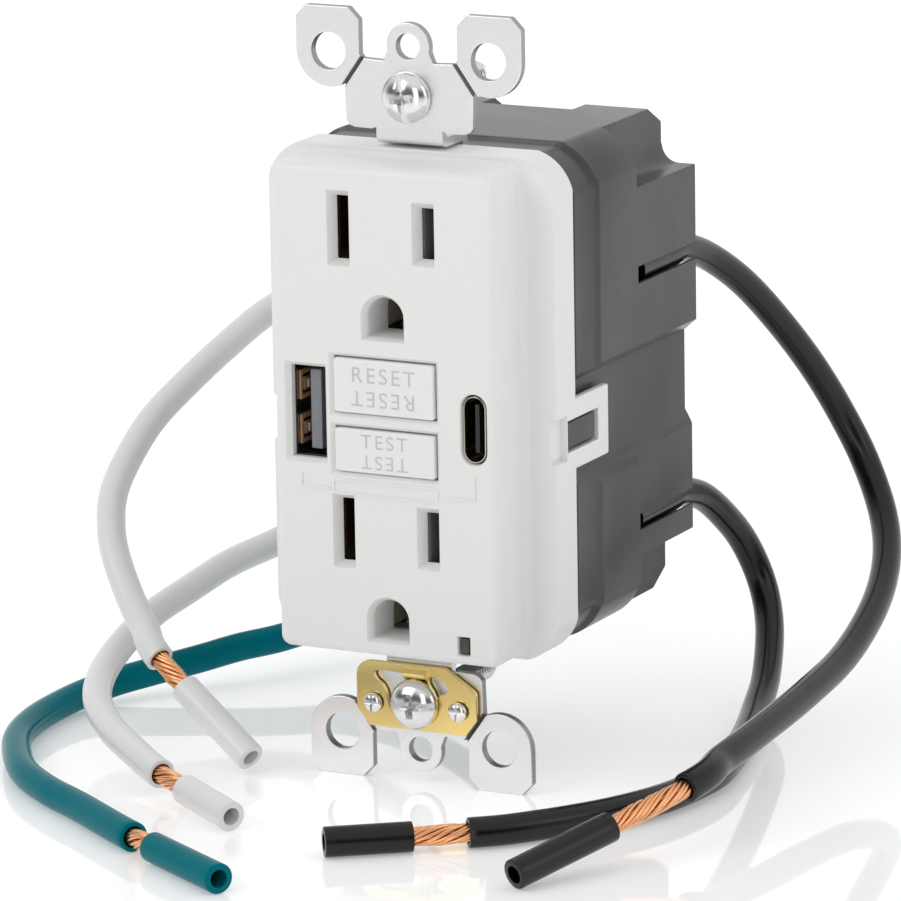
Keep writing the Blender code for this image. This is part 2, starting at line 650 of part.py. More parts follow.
def make_latch_plate():
    """Steel latch: a slotted plate across the reset pin, on the end of the plunger."""
    pin_slot = [
        *arc(0, RESET_Z + 1.7, 1.5, 0, 180, 6), *arc(0, RESET_Z - 0.1, 1.5, 180, 360, 6),
    ]
    outline = [(-3.4, -7.6), (3.4, -7.6), (3.4, 7.6), (2.6, 8.4), (-2.6, 8.4), (-3.4, 7.6)]
    return finish(plate("latch_plate", outline, 18.0, 18.8, holes=[pin_slot]), "zinc_steel")


def make_solenoid():
    """Trip solenoid: bobbin, winding, steel yoke and the plunger with its return spring."""
    y = 18.4
    bobbin = [
        (5.0, -12.9), (5.0, -13.7), (2.6, -13.7), (2.6, -26.1), (5.0, -26.1), (5.0, -26.9),
        (2.0, -26.9), (2.0, -12.9),
    ]
    finish(turned("solenoid_bobbin", bobbin, (0, y, 0), "Z", closed=True), "black_plastic")
    winding = [(4.7, -14.0), (4.7, -25.8), (2.9, -25.8), (2.9, -14.0)]
    finish(turned("solenoid_winding", winding, (0, y, 0), "Z", closed=True), "copper")
    section = [
        (12.6, -12.5), (12.6, -11.4), (24.3, -11.4), (24.3, -28.4), (12.6, -28.4), (12.6, -27.3),
        (23.7, -27.3), (23.7, -12.5),
    ]
    yoke = plate("solenoid_yoke", section, -5.6, 5.6, "X")
    cut(yoke, rod("plunger hole", (0, y, -12.0), 2.0, 4.0, "Z", 16))
    finish(yoke, "zinc_steel")
    plunger = [(0, -8.0), (2.6, -8.0), (2.6, -8.7), (1.55, -8.7), (1.55, -22.0), (0, -22.0)]
    finish(turned("solenoid_plunger", plunger, (0, y, 0), "Z", 16), "bright_steel")
    spring = coil("plunger_spring", (0, y, 0), 2.15, 0.2, -11.0, -9.0, 3, "Z")
    finish(spring, "bright_steel")


# Contacts --------------------------------------------------------------------------------------------
def make_contact_strip(name, side):
    """Brass strip behind the blade slots of both outlets, folded into a spring clip at each one."""
    low_x, high_x = across(side, 5.0, 7.7)
    strip = box(name, (low_x, -7.8, -21.2), (high_x, 2.1, 29.8), origin=(0, 0, 0))
    low_x, high_x = across(side, 5.45, 7.25)
    cut(strip, box(f"{name} throat", (low_x, -9.0, -23.0), (high_x, 1.6, 32.0)))
    low_x, high_x = across(side, 4.0, 7.0)
    cut(strip, box(f"{name} relief", (low_x, -9.0, -11.4), (high_x, 1.0, 20.0)))
    low_x, high_x = across(side, 4.0, 9.0)
    cut(strip, box(f"{name} button room", (low_x, -9.0, -11.4), (high_x, -4.4, 10.0)))
    low_x, high_x = across(side, 7.25, 7.7)
    join(strip, box(f"{name} tail", (low_x, 1.0, 9.85), (high_x, 11.2, 12.6)))
    low_x, high_x = across(side, 7.3, 13.5)
    join(strip, box(f"{name} foot", (low_x, 10.75, 9.9), (high_x, 11.25, 12.55)))
    return finish(strip, "brass")


def make_ground_contact(name, z):
    """U-shaped brass clip for a ground pin, seated on the strap's band."""
    clip = box(name, (-3.3, -7.8, z - 2.5), (3.3, 4.5, z + 2.5))
    cut(clip, box(f"{name} throat", (-2.85, -9.0, z - 4.0), (2.85, 4.0, z + 4.0)))
    return finish(clip, "brass")


def make_line_terminal(name, side):
    """Brass bus from an upper lead, through the sensing coils, to the moving contact."""
    low_x, high_x = across(side, 0.4, 1.2)
    bus = box(name, (low_x, 11.0, 18.7), (high_x, 23.7, 21.7))
    low_x, high_x = across(side, 0.5, 13.8)
    join(bus, box(f"{name} cross bar", (low_x, 22.95, 18.65), (high_x, 23.65, 21.65)))
    low_x, high_x = across(side, 13.0, 13.75)
    join(bus, box(f"{name} riser", (low_x, 20.95, 18.6), (high_x, 23.6, 21.6)))
    low_x, high_x = across(side, 13.1, 18.0)
    join(bus, box(f"{name} pad", (low_x, 20.9, 12.5), (high_x, 21.6, 21.55)))
    return finish(bus, "brass")


# Sensing, control and USB charging -------------------------------------------------------------------
def make_boards():
    """Main board at the back, USB board in the tray, and their larger components."""
    board = box("fault_sensing_board", (-14.4, BOARD_FRONT, -31.3), (14.4, 26.5, 31.3))
    finish(board, "circuit_green")
    usb_board = box("usb_board", (-16.3, 6.5, -14.0), (16.3, 7.7, 9.2))
    cut(usb_board, box("usb board window", (-8.9, 5.0, -9.5), (8.9, 9.0, 12.0)))
    finish(usb_board, "circuit_green")
    for name, low, material in (
        ("sensing_coil", 12.0, "copper"), ("grounded_neutral_coil", 17.6, "ferrite"),
    ):
        middle, high = low + 2.2, low + 4.4
        ring = [(6.4, high), (6.6, middle), (6.4, low), (3.0, low), (2.8, middle), (3.0, high)]
        finish(turned(name, ring, (0, 0, 20.2), closed=True), material)
    transformer = box("flyback_transformer", (-13.0, 26.8, -14.0), (0.5, 37.5, 0.5), bevel=0.5, segments=1)
    finish(transformer, "ferrite")
    finish(rod("bulk_capacitor", (8.4, 32.0, -7.0), 4.8, 14.0, "Z", 20), "black_plastic")
    finish(rod("surge_varistor", (10.5, 31.8, -22.0), 4.6, 3.0, "X", 20), "copper")
    finish(box("control_chip", (-11.0, 26.8, 6.0), (-1.0, 28.6, 13.0), 0.2, 1), "black_plastic")
    x, z = LIGHT
    pipe = box("status_light_pipe", (x - 0.65, FACE_Y + 0.3, z - 1.05), (x + 0.65, 23.0, z + 1.05))
    finish(pipe, "smoked_clear")
    finish(box("status_light", (x - 1.0, 23.3, z - 0.5), (x + 1.0, 24.7, z + 1.5), 0.2, 1), "smoked_clear")


def make_usb_a():
    """USB-A socket: steel shell with an insulator and its contact tongue."""
    x, z = USB_A
    front = FACE_Y + WALL + JOINT_GAP
    shell = box("usb_a_shell", (x - 2.85, front, z - 6.55), (x + 2.85, 6.1, z + 6.55))
    cut(shell, box("usb a bore", (x - 2.5, front - 1, z - 6.2), (x + 2.5, 5.7, z + 6.2)))
    finish(shell, "usb_steel")
    tongue = box("usb_a_tongue", (x - 0.65, front + 0.4, z - 5.5), (x + 1.05, 5.3, z + 5.5))
    join(tongue, box("usb a base", (x - 2.2, 1.0, z - 5.9), (x + 2.15, 5.35, z + 5.9)))
    finish(tongue, "black_plastic")


def make_usb_c():
    """USB-C socket: round-ended steel shell and its thin contact tongue on a base."""
    x, z = USB_C
    shell = plate(
        "usb_c_shell", rounded_rect(1.63, 4.5, 1.62, 6, x, z), FACE_Y + 0.3, -1.2,
        holes=[rounded_rect(1.33, 4.2, 1.32, 6, x, z)],
    )
    finish(shell, "usb_steel")
    tongue = box("usb_c_tongue", (x - 0.35, -9.0, z - 3.3), (x + 0.35, 6.2, z + 3.3))
    join(tongue, box("usb c base", (x - 1.6, -0.9, z - 5.0), (x + 1.6, 6.15, z + 5.0)))
    finish(tongue, "black_plastic")


# Leads ------------------------------------------------------------------------------------------------
def smooth_route(points, steps=24):
    """Points along a Catmull-Rom curve through the given ones, in millimetres."""
    knots = [Vector(p) for p in points]
    knots = [2 * knots[0] - knots[1], *knots, 2 * knots[-1] - knots[-2]]
    route = []
    for a, b, c, d in zip(knots, knots[1:], knots[2:], knots[3:]):
        for i in range(steps):
            t = i / steps
            curve = 2 * b + (c - a) * t + (2 * a - 5 * b + 4 * c - d) * t**2
            route.append((curve + (3 * b - a - 3 * c + d) * t**3) / 2)
    route.append(knots[-2])
    return route


def stretch(route, start, end, step):
    """Evenly spaced points of a route between two distances along it."""
    lengths = [0.0]
    for a, b in zip(route, route[1:]):
        lengths.append(lengths[-1] + (b - a).length)
    count = max(1, round((end - start) / step))
    points = []
    index = 0
    for i in range(count + 1):
        goal = start + (end - start) * i / count
        while index < len(route) - 2 and lengths[index + 1] < goal:
            index += 1
        share = (goal - lengths[index]) / (lengths[index + 1] - lengths[index])
        points.append(route[index].lerp(route[index + 1], share))
    return points


def make_lead(name, points, bare, slug, insulation):
    """A stranded lead: its insulation, the bared strands, and the slug of insulation left on the end."""
    route = smooth_route(points)
    total = sum((b - a).length for a, b in zip(route, route[1:]))
    jacket_end = total - slug - bare
    jacket = stretch(route, 0, jacket_end, LEAD_STEP)
    finish(tube(f"{name}_lead", jacket, LEAD_RADIUS), insulation)
    strands = stretch(route, jacket_end + STRAND_GAP, total - slug - STRAND_GAP, 3.0)
    finish(tube(f"{name}_strands", strands, STRAND_RADIUS), "copper")
    finish(tube(f"{name}_slug", stretch(route, total - slug, total, 4.5), LEAD_RADIUS), insulation)


def main():
    """Builds the whole assembly."""
    make_front_cover()
    make_rear_housing()
    make_middle_frame()
    make_mounting_strap()
    make_ground_plate()
    make_ground_rivets()
    make_mounting_screw("upper_mounting_screw", 1, -STRAP_THICK - JOINT_GAP)
    make_mounting_screw("lower_mounting_screw", -1, -STRAP_THICK - 2 * JOINT_GAP - 0.7)
    make_screw_retainer("upper_screw_retainer", 1)
    make_screw_retainer("lower_screw_retainer", -1)
    make_button("reset_button", RESET_Z, 3.7, 0, 0)
    make_button("test_button", TEST_Z, 2.95, 1.0, 5.9)
    make_reset_pin()
    finish(coil("reset_spring", (0, 0, RESET_Z), 2.75, 0.3, -6.9, 8.1, 5), "bright_steel")
    finish(coil("test_spring", (0, 0, TEST_Z), 1.9, 0.3, -6.9, 8.1, 5), "bright_steel")
    make_contact_carrier()
    make_moving_contact("hot_moving_contact", 1)
    make_moving_contact("neutral_moving_contact", -1)
    make_latch_plate()
    make_solenoid()
    make_contact_strip("hot_contact_strip", 1)
    make_contact_strip("neutral_contact_strip", -1)
    make_ground_contact("upper_ground_contact", UPPER_PIN_Z)
    make_ground_contact("lower_ground_contact", LOWER_PIN_Z)
    make_line_terminal("hot_line_terminal", 1)
    make_line_terminal("neutral_line_terminal", -1)
    make_boards()
    make_usb_a()
    make_usb_c()
    for lead in LEADS:
        make_lead(*lead)


clear_scene()
parts = new_collection("gfci_receptacle")
cutters = new_collection("cutters")
main()
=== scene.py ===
"""Looks of the receptacle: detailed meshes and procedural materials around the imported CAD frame.

Lengths below are in millimetres in the CAD's own frame, and turned into metres when a mesh is made.
"""
import math
import random

import bmesh
import bpy
from mathutils import Matrix, Vector


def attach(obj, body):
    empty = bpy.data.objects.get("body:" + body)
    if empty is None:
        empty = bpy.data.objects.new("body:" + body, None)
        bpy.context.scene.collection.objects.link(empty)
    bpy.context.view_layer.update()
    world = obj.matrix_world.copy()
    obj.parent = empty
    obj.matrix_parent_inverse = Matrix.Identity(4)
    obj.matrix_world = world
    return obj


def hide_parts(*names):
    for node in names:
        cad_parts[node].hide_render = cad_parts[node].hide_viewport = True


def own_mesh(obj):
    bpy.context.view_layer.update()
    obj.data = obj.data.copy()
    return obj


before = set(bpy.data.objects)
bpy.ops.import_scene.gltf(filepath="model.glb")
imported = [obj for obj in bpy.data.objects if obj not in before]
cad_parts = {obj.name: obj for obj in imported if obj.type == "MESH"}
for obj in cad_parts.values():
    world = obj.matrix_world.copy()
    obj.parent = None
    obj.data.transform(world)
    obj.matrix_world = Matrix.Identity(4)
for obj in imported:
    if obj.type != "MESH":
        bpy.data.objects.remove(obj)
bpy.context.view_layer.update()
MM = 0.001

# --- Dimensions that the pieces share with the CAD model, in millimetres
SCREW_PITCH = 83.3
PLATE_HOLE_PITCH = 96.84
STRAP_THICK = 1.3
EAR_TOP = 53.2
FACE_HALF_WIDTH = 16.65
FACE_HALF_HEIGHT = 33.35
FACE_Y = -10.1
WALL = 1.7
FLANGE_HALF_WIDTH = 21.4
FLANGE_HALF_HEIGHT = 34.35
FLANGE_MIDDLE = 0.25
FLANGE_FRONT = -1.6
FLANGE_BACK = 4.45
FLANGE_WALL = 1.6
FLANGE_CORNER = 5.0
TUB_FRONT = 4.8
TUB_BACK = 23.5
TUB_HALF_WIDTH = 21.75
TUB_HALF_HEIGHT = 34.2
TUB_MIDDLE = 0.3
CORE_TOP = 34.4
CORE_BOTTOM = -33.5
CORE_CHAMFER = 2.3
CORE_SLOPE = 4.1
HOUSING_BACK = 42.2
BLADE_X = 6.35
UPPER_BLADE_Z = 25.0
LOWER_BLADE_Z = -16.4
UPPER_PIN_Z = 13.2
LOWER_PIN_Z = -28.3
RESET_Z = 3.65
TEST_Z = -5.2
BUTTON_HALF_WIDTH = 7.45
USB_A = (-11.7, -0.6)
USB_C = (13.35, -0.85)
LIGHT = (11.35, -30.7)
LATCH_Z = -3.65
LEAD_RADIUS = 2.05
STRAND_RADIUS = 0.262
STRAND_TWIST = 17.0
STRAND_RINGS = ((0.0, 1, 0.0), (0.52, 6, 0.3), (1.0, 12, 0.0))  # radius, wires, phase
UPPER_LEAD = (19.1, 14.3)
LOWER_LEAD = (18.4, -20.6)
GROUND_LEAD = (-11.0, -27.0)
FLOOR_Z = -53.2
HOLLOW_HALF_WIDTH = 15.05
PIN_BORE = (2.72, 2.85)  # radius, and depth of the flat below the middle
EAR_HOLE = (11.95, 47.1)
SCORE_HALF_WIDTH, SCORE_DEPTH = 0.34, 0.62
RIVET_X, RIVET_Z = 6.45, -42.2
BRASS_GAP = 0.3  # between the strap and the brass plate
THREAD_PITCH = 0.794  # 32 threads to the inch
USB_A_CONTACTS = (-3.5, -1.2, 1.2, 3.5)
BUTTON_SPRING = (-6.88, 8.07)  # front and back ends of the two button springs

# camera, fitted to the photograph: degrees, millimetres
AZIMUTH, ELEVATION, ROLL = 27.11, 13.22, -1.0
LENS, SENSOR = 273.04, 36
AIM, AIM_DISTANCE = (4.69, 0, -6.54), 918.93

WHITE_UPPER = [
    (-19.1, 27, 14.3), (-19.1, 38, 14.3), (-19.1, 43, 14.3), (-20.1, 50, 13.4), (-24.5, 58, 10.6),
    (-31.5, 63.5, 7.2), (-40, 64.5, 3.4), (-47.5, 60.5, 0.2), (-51.8, 53.5, -2.5), (-53.6, 44, -5.8),
    (-55.3, 35, -9.6), (-57.1, 28, -13.6), (-58, 22.5, -18), (-57.8, 17.6, -22), (-56.5, 14.2, -25.8),
    (-54.4, 11.5, -29.3), (-50.5, 8.2, -33.9), (-46, 4.6, -37.6), (-41.1, 0.6, -40.9),
    (-23.8, -6, -51.1),
]
WHITE_LOWER = [
    (-18.4, 27, -20.6), (-18.4, 38, -20.6), (-18.4, 43, -20.6), (-19.7, 50, -21.9), (-24.5, 57, -24.4),
    (-31.5, 60.8, -27.6), (-39.5, 60.6, -31.2), (-46.5, 57, -34.2), (-50.6, 51, -36.5),
    (-52.9, 42, -37.6), (-54.3, 32.5, -39.3), (-55.1, 22.5, -40.9), (-54.5, 12.1, -43.1),
    (-52.0, 2.2, -44.9), (-48, -5.5, -46.2), (-42.1, -12.1, -47.5), (-35.1, -18, -48.5),
    (-27.9, -23.3, -49.5), (-12.4, -32.4, -51.1),
]
GREEN_GROUND = [
    (-11, 32, -27), (-11, 38, -27), (-11, 43.5, -27), (-13.3, 51.5, -30), (-19.5, 58.5, -34.4),
    (-28, 59.5, -39), (-35.8, 53, -43.3), (-39.6, 45.5, -45.9), (-42.8, 39, -46.9),
    (-47.2, 33.9, -47.6), (-51, 29, -48.5), (-55.8, 22.9, -49.5), (-59.2, 18.7, -50.3),
    (-61.4, 12.4, -50.9),
    (-61.7, 5, -51.1), (-60.9, -1.8, -51.1), (-58.8, -9.1, -51.1), (-54.9, -16.3, -51.1),
    (-48.8, -24.6, -51.1), (-41.4, -31, -51.1), (-33.4, -36.3, -51.1), (-19.3, -46.2, -51.1),
    (-0.2, -58.1, -51.1),
]
BLACK_UPPER = [
    (19.1, 27, 14.3), (19.1, 38, 14.3), (19.1, 43, 14.3), (19.7, 50.2, 11.8), (21.7, 57.5, 6.9),
    (24.3, 63.8, 0.3), (27.3, 69.2, -7.3), (30.3, 72.9, -15.1), (33.9, 73, -21.9), (38.2, 69, -28.3),
    (41.6, 61.9, -32.9), (44, 51.9, -36.8), (45.6, 38.1, -40.2), (46.4, 22.8, -41.8),
    (46.8, 7.5, -42.8), (46.7, -4.7, -43.7), (46.1, -15, -45), (33.9, -41.2, -51.1),
]
BLACK_LOWER = [
    (18.4, 27, -20.6), (18.4, 38, -20.6), (18.4, 43, -20.6), (18.8, 49, -22.3), (19.6, 54.3, -25.9),
    (20.9, 59, -31), (23, 60.5, -37.1), (25.7, 57.1, -42.4), (28.8, 49, -47.5), (31, 40.9, -49.9),
    (33.6, 32, -50.9), (36, 22.5, -51.1), (37.9, 13.6, -51.1), (37.9, 7, -51.1), (36.3, -2.2, -51.1),
    (32.1, -11.8, -51.1), (25.1, -21.6, -51.1), (19.3, -26.9, -51.1), (4.4, -37.9, -51.1),
]
# name, route, length of the insulated wire from its inner end to the bared strands, bared length, slug
# length, colour, where the lead leaves the housing
LEADS = [
    ("white_upper", WHITE_UPPER, 142, 6.2, 15.5, "white_insulation", (-19.1, 42.3, 14.3)),
    ("white_lower", WHITE_LOWER, 152, 6.4, 12.0, "white_insulation", (-18.4, 42.3, -20.6)),
    ("green_ground", GREEN_GROUND, 178, 5.4, 17.5, "green_insulation", (-11.0, 42.3, -27.0)),
    ("black_upper", BLACK_UPPER, 166, 13.2, 16.3, "black_insulation", (19.1, 42.3, 14.3)),
    ("black_lower", BLACK_LOWER, 142, 7.4, 11.8, "black_insulation", (18.4, 42.3, -20.6)),
]


def add_object(name, data):
    """Puts an object with this data in the scene."""
    obj = bpy.data.objects.new(name, data)
    bpy.context.scene.collection.objects.link(obj)
    return obj


# --- Camera
def make_camera():
    """Long-lens camera, to the right of the front and a little above, rolled by a degree."""
    yaw, pitch, roll = math.radians(AZIMUTH), math.radians(ELEVATION), math.radians(ROLL)
    level = math.cos(pitch)
    forward = Vector((-math.sin(yaw) * level, math.cos(yaw) * level, -math.sin(pitch)))
    right = Vector((math.cos(yaw), math.sin(yaw), 0))
    up = right.cross(forward)
    right, up = (
        math.cos(roll) * right + math.sin(roll) * up,
        -math.sin(roll) * right + math.cos(roll) * up,
    )
    data = bpy.data.cameras.new("camera")
    data.sensor_width, data.lens, data.clip_end = SENSOR, LENS, 50
    camera = add_object("camera", data)
    matrix = Matrix((right, up, -forward)).transposed().to_4x4()
    matrix.translation = (Vector(AIM) - forward * AIM_DISTANCE) * MM
    camera.matrix_world = matrix
    bpy.context.scene.camera = camera


make_camera()


# --- Materials
def connect(tree, node, inputs):
    """Sets a node's inputs: each is given as a value, or as the socket that it is linked from."""
    for key, value in inputs.items():
        if isinstance(value, bpy.types.NodeSocket):
            tree.links.new(value, node.inputs[key])
        else:
            node.inputs[key].default_value = value


def add_node(tree, kind, output, inputs, **settings):
    """Adds a node with its settings and inputs, and gives back one of its outputs."""
    node = tree.nodes.new(kind)
    for key, value in settings.items():
        setattr(node, key, value)
    connect(tree, node, inputs)
    return node.outputs[output]


def material(name, colour, roughness, metallic, grain=900.0, mottle=0.04, bump=0.05, fine=6000.0,
             stretch=(1, 1, 1), vary=0.06, specular=None):
    """Material whose colour, roughness and relief vary through noise in the piece's own space.

    grain and fine are the scales of the colour and relief noise per metre, mottle is the share by which
    the colour varies, and bump is the depth of the relief in hundredths of a millimetre.
    """
    mat = bpy.data.materials.new(name)
    mat.use_nodes = True
    tree = mat.node_tree
    coords = add_node(tree, "ShaderNodeTexCoord", "Object", {})
    at = add_node(tree, "ShaderNodeMapping", "Vector", {"Vector": coords, "Scale": stretch})
    noise = "ShaderNodeTexNoise"
    cloud = add_node(tree, noise, "Fac", {"Vector": at, "Scale": grain, "Detail": 5})
    relief = add_node(tree, noise, "Fac", {"Vector": at, "Scale": fine, "Detail": 3})
    inputs = {
        "Base Color": add_node(tree, "ShaderNodeMix", "Result", {
            "A": [*[c * (1 - mottle) for c in colour], 1],
            "B": [*[min(1, c * (1 + mottle)) for c in colour], 1],
            "Factor": cloud,
        }, data_type="RGBA"),
        "Roughness": add_node(tree, "ShaderNodeMapRange", "Result", {
            "To Min": max(0.02, roughness - vary), "To Max": roughness + vary, "Value": cloud,
        }),
        "Normal": add_node(tree, "ShaderNodeBump", "Normal", {
            "Strength": 1.0, "Distance": bump * 0.01 * MM, "Height": relief,
        }),
        "Metallic": metallic,
    }
    if specular is not None:
        inputs["Specular IOR Level"] = specular
    connect(tree, tree.nodes["Principled BSDF"], inputs)
    return mat


# colour, roughness, metallic, and what differs from the values that material() has by itself
LOOKS = {
    "white_plastic": ((0.855, 0.855, 0.842), 0.38, 0.0, dict(
        mottle=0.012, bump=0.25, fine=9000, grain=400
    )),
    "button_plastic": ((0.87, 0.87, 0.862), 0.34, 0.0, dict(
        mottle=0.012, bump=0.2, fine=9000, grain=400
    )),
    # grey of the button letters: painted shade standing in for their relief
    "letter_painted_shade": ((0.60, 0.60, 0.59), 0.5, 0.0, dict(mottle=0.05, bump=0.1)),
    "dark_plastic": ((0.084, 0.084, 0.088), 0.25, 0.0, dict(
        mottle=0.75, bump=0.12, fine=2600, grain=48, vary=0.08, stretch=(1, 1, 0.6), specular=0.13
    )),
    "inner_plastic": ((0.06, 0.06, 0.065), 0.5, 0.0, dict(bump=0.5)),
    "zinc_steel": ((0.96, 0.96, 0.96), 0.34, 1.0, dict(
        mottle=0.14, bump=2.4, fine=4600, grain=3800, vary=0.10
    )),
    # darker steel: bare cut steel on the strap's sheared edges and hole walls, and painted shade on the
    # walls of the score grooves
    "cut_steel_and_groove_shade": ((0.40, 0.40, 0.40), 0.5, 1.0, dict(mottle=0.15, bump=1.2, grain=2500)),
    "brass": ((0.90, 0.68, 0.27), 0.25, 1.0, dict(
        mottle=0.05, bump=0.12, fine=2200, grain=700, stretch=(1, 1, 4)
    )),
    # brass darkened to brown-black: painted shade of the slot interiors that the neutral contact strip
    # is seen through
    "brass_painted_shade": ((0.16, 0.10, 0.045), 0.45, 1.0, dict(mottle=0.3, bump=0.3, grain=700)),
    "dull_steel": ((0.42, 0.42, 0.43), 0.5, 0.6, dict(mottle=0.1, bump=0.3, grain=700)),
    "pale_brass": ((0.50, 0.45, 0.36), 0.5, 0.5, dict(mottle=0.15, bump=0.3, grain=700)),
    "bright_steel": ((0.80, 0.80, 0.80), 0.17, 1.0, dict(
        mottle=0.05, bump=0.25, fine=3000, grain=1500, vary=0.05
    )),
    "usb_steel": ((0.36, 0.34, 0.31), 0.25, 1.0, dict(mottle=0.1, bump=0.3, grain=900)),
    "usb_ring": ((0.78, 0.70, 0.60), 0.2, 1.0, dict(mottle=0.05, bump=0.2)),
    "usb_tongue": ((0.22, 0.23, 0.25), 0.35, 0.2, dict(mottle=0.12, bump=0.4, grain=1500)),
    "spring_bronze": ((0.50, 0.30, 0.17), 0.4, 0.25, dict(mottle=0.15, bump=0.2)),
    "pad_steel": ((0.42, 0.47, 0.44), 0.4, 0.3, dict(mottle=0.1, bump=0.2)),
    "black_plastic": ((0.012, 0.012, 0.013), 0.28, 0.0, dict(bump=0.3)),
    "smoked_clear": ((0.05, 0.042, 0.034), 0.12, 0.0, dict(bump=0.1)),
    "circuit_green": ((0.015, 0.16, 0.07), 0.4, 0.0, dict(mottle=0.12, bump=0.4, grain=700)),
    "copper": ((0.93, 0.47, 0.24), 0.26, 1.0, dict(mottle=0.10, bump=0.3, grain=2500)),
    "winding": ((0.62, 0.22, 0.08), 0.3, 0.9, dict(
        mottle=0.1, bump=1.5, fine=2600, stretch=(0.2, 0.2, 1)
    )),
    "varistor": ((0.62, 0.20, 0.04), 0.35, 0.0, dict(mottle=0.06, bump=0.6, fine=1500)),
    "fibre": ((0.25, 0.15, 0.08), 0.8, 0.0, dict(mottle=0.2, bump=1.5, fine=2500)),
    "ferrite": ((0.06, 0.06, 0.065), 0.65, 0.0, dict(mottle=0.15, bump=1.0, fine=3000)),
    "white_insulation": ((0.76, 0.76, 0.755), 0.30, 0.0, dict(
        mottle=0.02, bump=0.6, fine=1600, grain=500
    )),
    "green_insulation": ((0.0, 0.155, 0.19), 0.2, 0.0, dict(
        mottle=0.06, bump=0.8, fine=1500, grain=420, specular=0.05
    )),
    "black_insulation": ((0.003, 0.003, 0.003), 0.24, 0.0, dict(
        mottle=0.1, bump=0.9, fine=1300, grain=420, specular=0.4
    )),
}
MATS = {
    name: material(name, colour, roughness, metallic, **rest)
    for name, (colour, roughness, metallic, rest) in LOOKS.items()
}


# --- Mesh helpers
def to_object(name, bm, scale=MM):
    """Makes an object of a bmesh written in millimetres."""
    bmesh.ops.recalc_face_normals(bm, faces=bm.faces)
    mesh = bpy.data.meshes.new(name)
    bm.to_mesh(mesh)
    bm.free()
    mesh.transform(Matrix.Scale(scale, 4))
    return add_object(name, mesh)


def evaluated_mesh(obj):
    """Mesh of an object with its modifiers applied, or of a text curve."""
    return bpy.data.meshes.new_from_object(obj.evaluated_get(bpy.context.evaluated_depsgraph_get()))


def bake(obj):
    """Applies an object's modifiers."""
    bpy.context.view_layer.update()
    mesh = evaluated_mesh(obj)
    old = obj.data
    obj.modifiers.clear()
    obj.data = mesh
    mesh.name = obj.name
    if old.users == 0:
        bpy.data.meshes.remove(old)


def bevelled(obj, width, segments):
    """Rounds an object's edges that turn by more than 40 degrees."""
    if width:
        modifier = obj.modifiers.new("edges", "BEVEL")
        modifier.width = width * MM
        modifier.segments = segments
        modifier.limit_method = "ANGLE"
        modifier.angle_limit = math.radians(40)
        modifier.miter_outer = "MITER_ARC"
        bake(obj)
    return obj


def box(name, low, high, bevel=0.0, segments=3):
    """A box between two corners with rounded edges."""
    bm = bmesh.new()
    bmesh.ops.create_cube(bm, size=1)
    bmesh.ops.scale(bm, vec=Vector(high) - Vector(low), verts=bm.verts)
    bmesh.ops.translate(bm, vec=(Vector(high) + Vector(low)) / 2, verts=bm.verts)
    return bevelled(to_object(name, bm), bevel, segments)


def side_box(name, side, low, high, bevel=0.0, segments=3):
    """A box on the right, side 1, or its mirror image on the left, side -1."""
    left, right = sorted((side * low[0], side * high[0]))
    return box(name, (left, *low[1:]), (right, *high[1:]), bevel, segments)


def skin(bm, rings, closed=False):
    """Adds the faces between neighbouring rings of points, and from the last to the first if closed."""
    pairs = list(zip(rings, rings[1:]))
    if closed:
        pairs.append((rings[-1], rings[0]))
    for a, b in pairs:
        for i in range(len(a)):
            j = (i + 1) % len(a)
            bm.faces.new((a[i], a[j], b[j], b[i]))


def stack(name, layers, axis="Y"):
    """A solid through several outlines with the same number of points: (place, outline) pairs."""
    bm = bmesh.new()
    rings = [
        [bm.verts.new((w, u, v) if axis == "X" else (u, w, v)) for u, v in outline]
        for w, outline in layers
    ]
    bm.faces.new(rings[0])
    bm.faces.new(rings[-1])
    skin(bm, rings)
    return to_object(name, bm)


def prism(name, outline, low, high, axis="Y", bevel=0.0, segments=3, end_outline=None):
    """A solid between two places along an axis: one outline, or one that turns into another."""
    layers = [(low, outline), (high, end_outline or outline)]
    return bevelled(stack(name, layers, axis), bevel, segments)


def turned(name, profile, centre, sides=48):
    """A solid turned about Y from (radius, y) pairs that begin and end on its axis, or round a ring."""
    bm = bmesh.new()
    ring = profile[0][0] > 0
    grid = []
    for i in range(sides):
        angle = 2 * math.pi * i / sides
        c, s = math.cos(angle), math.sin(angle)
        grid.append([bm.verts.new(Vector(centre) + Vector((r * c, y, r * s))) for r, y in profile])
    count = len(profile)
    for i in range(sides):
        a, b = grid[i], grid[(i + 1) % sides]
        for k in range(count if ring else count - 1):
            m = (k + 1) % count
            bm.faces.new((a[k], a[m], b[m], b[k]))
    bmesh.ops.remove_doubles(bm, verts=bm.verts, dist=0.0001)
    return to_object(name, bm)


def drill(radius, start, end, x, z, sides):
    """A cylinder along Y for cutting a hole."""
    return turned("drill", [(0, start), (radius, start), (radius, end), (0, end)], (x, 0, z), sides)


def arc(cx, cz, radius, start, end, steps):
    """Points along an arc, in degrees."""
    angles = [math.radians(start + (end - start) * i / steps) for i in range(steps + 1)]
    return [(cx + radius * math.cos(a), cz + radius * math.sin(a)) for a in angles]


def corner_arcs(x, z, radius, steps, cx=0.0, cz=0.0, meet=0):
    """Arcs round the points (+-x, +-z), which the straight sides between them meet at an angle."""
    return [
        point for dx, dz, a in ((x, z, 0), (-x, z, 90), (-x, -z, 180), (x, -z, 270))
        for point in arc(cx + dx, cz + dz, radius, a + meet, a + 90 - meet, steps)
    ]


def rounded_rect(half_width, half_height, radius, steps=6, cx=0.0, cz=0.0):
    """Outline of a rectangle with round corners."""
    return corner_arcs(half_width - radius, half_height - radius, radius, steps, cx, cz)


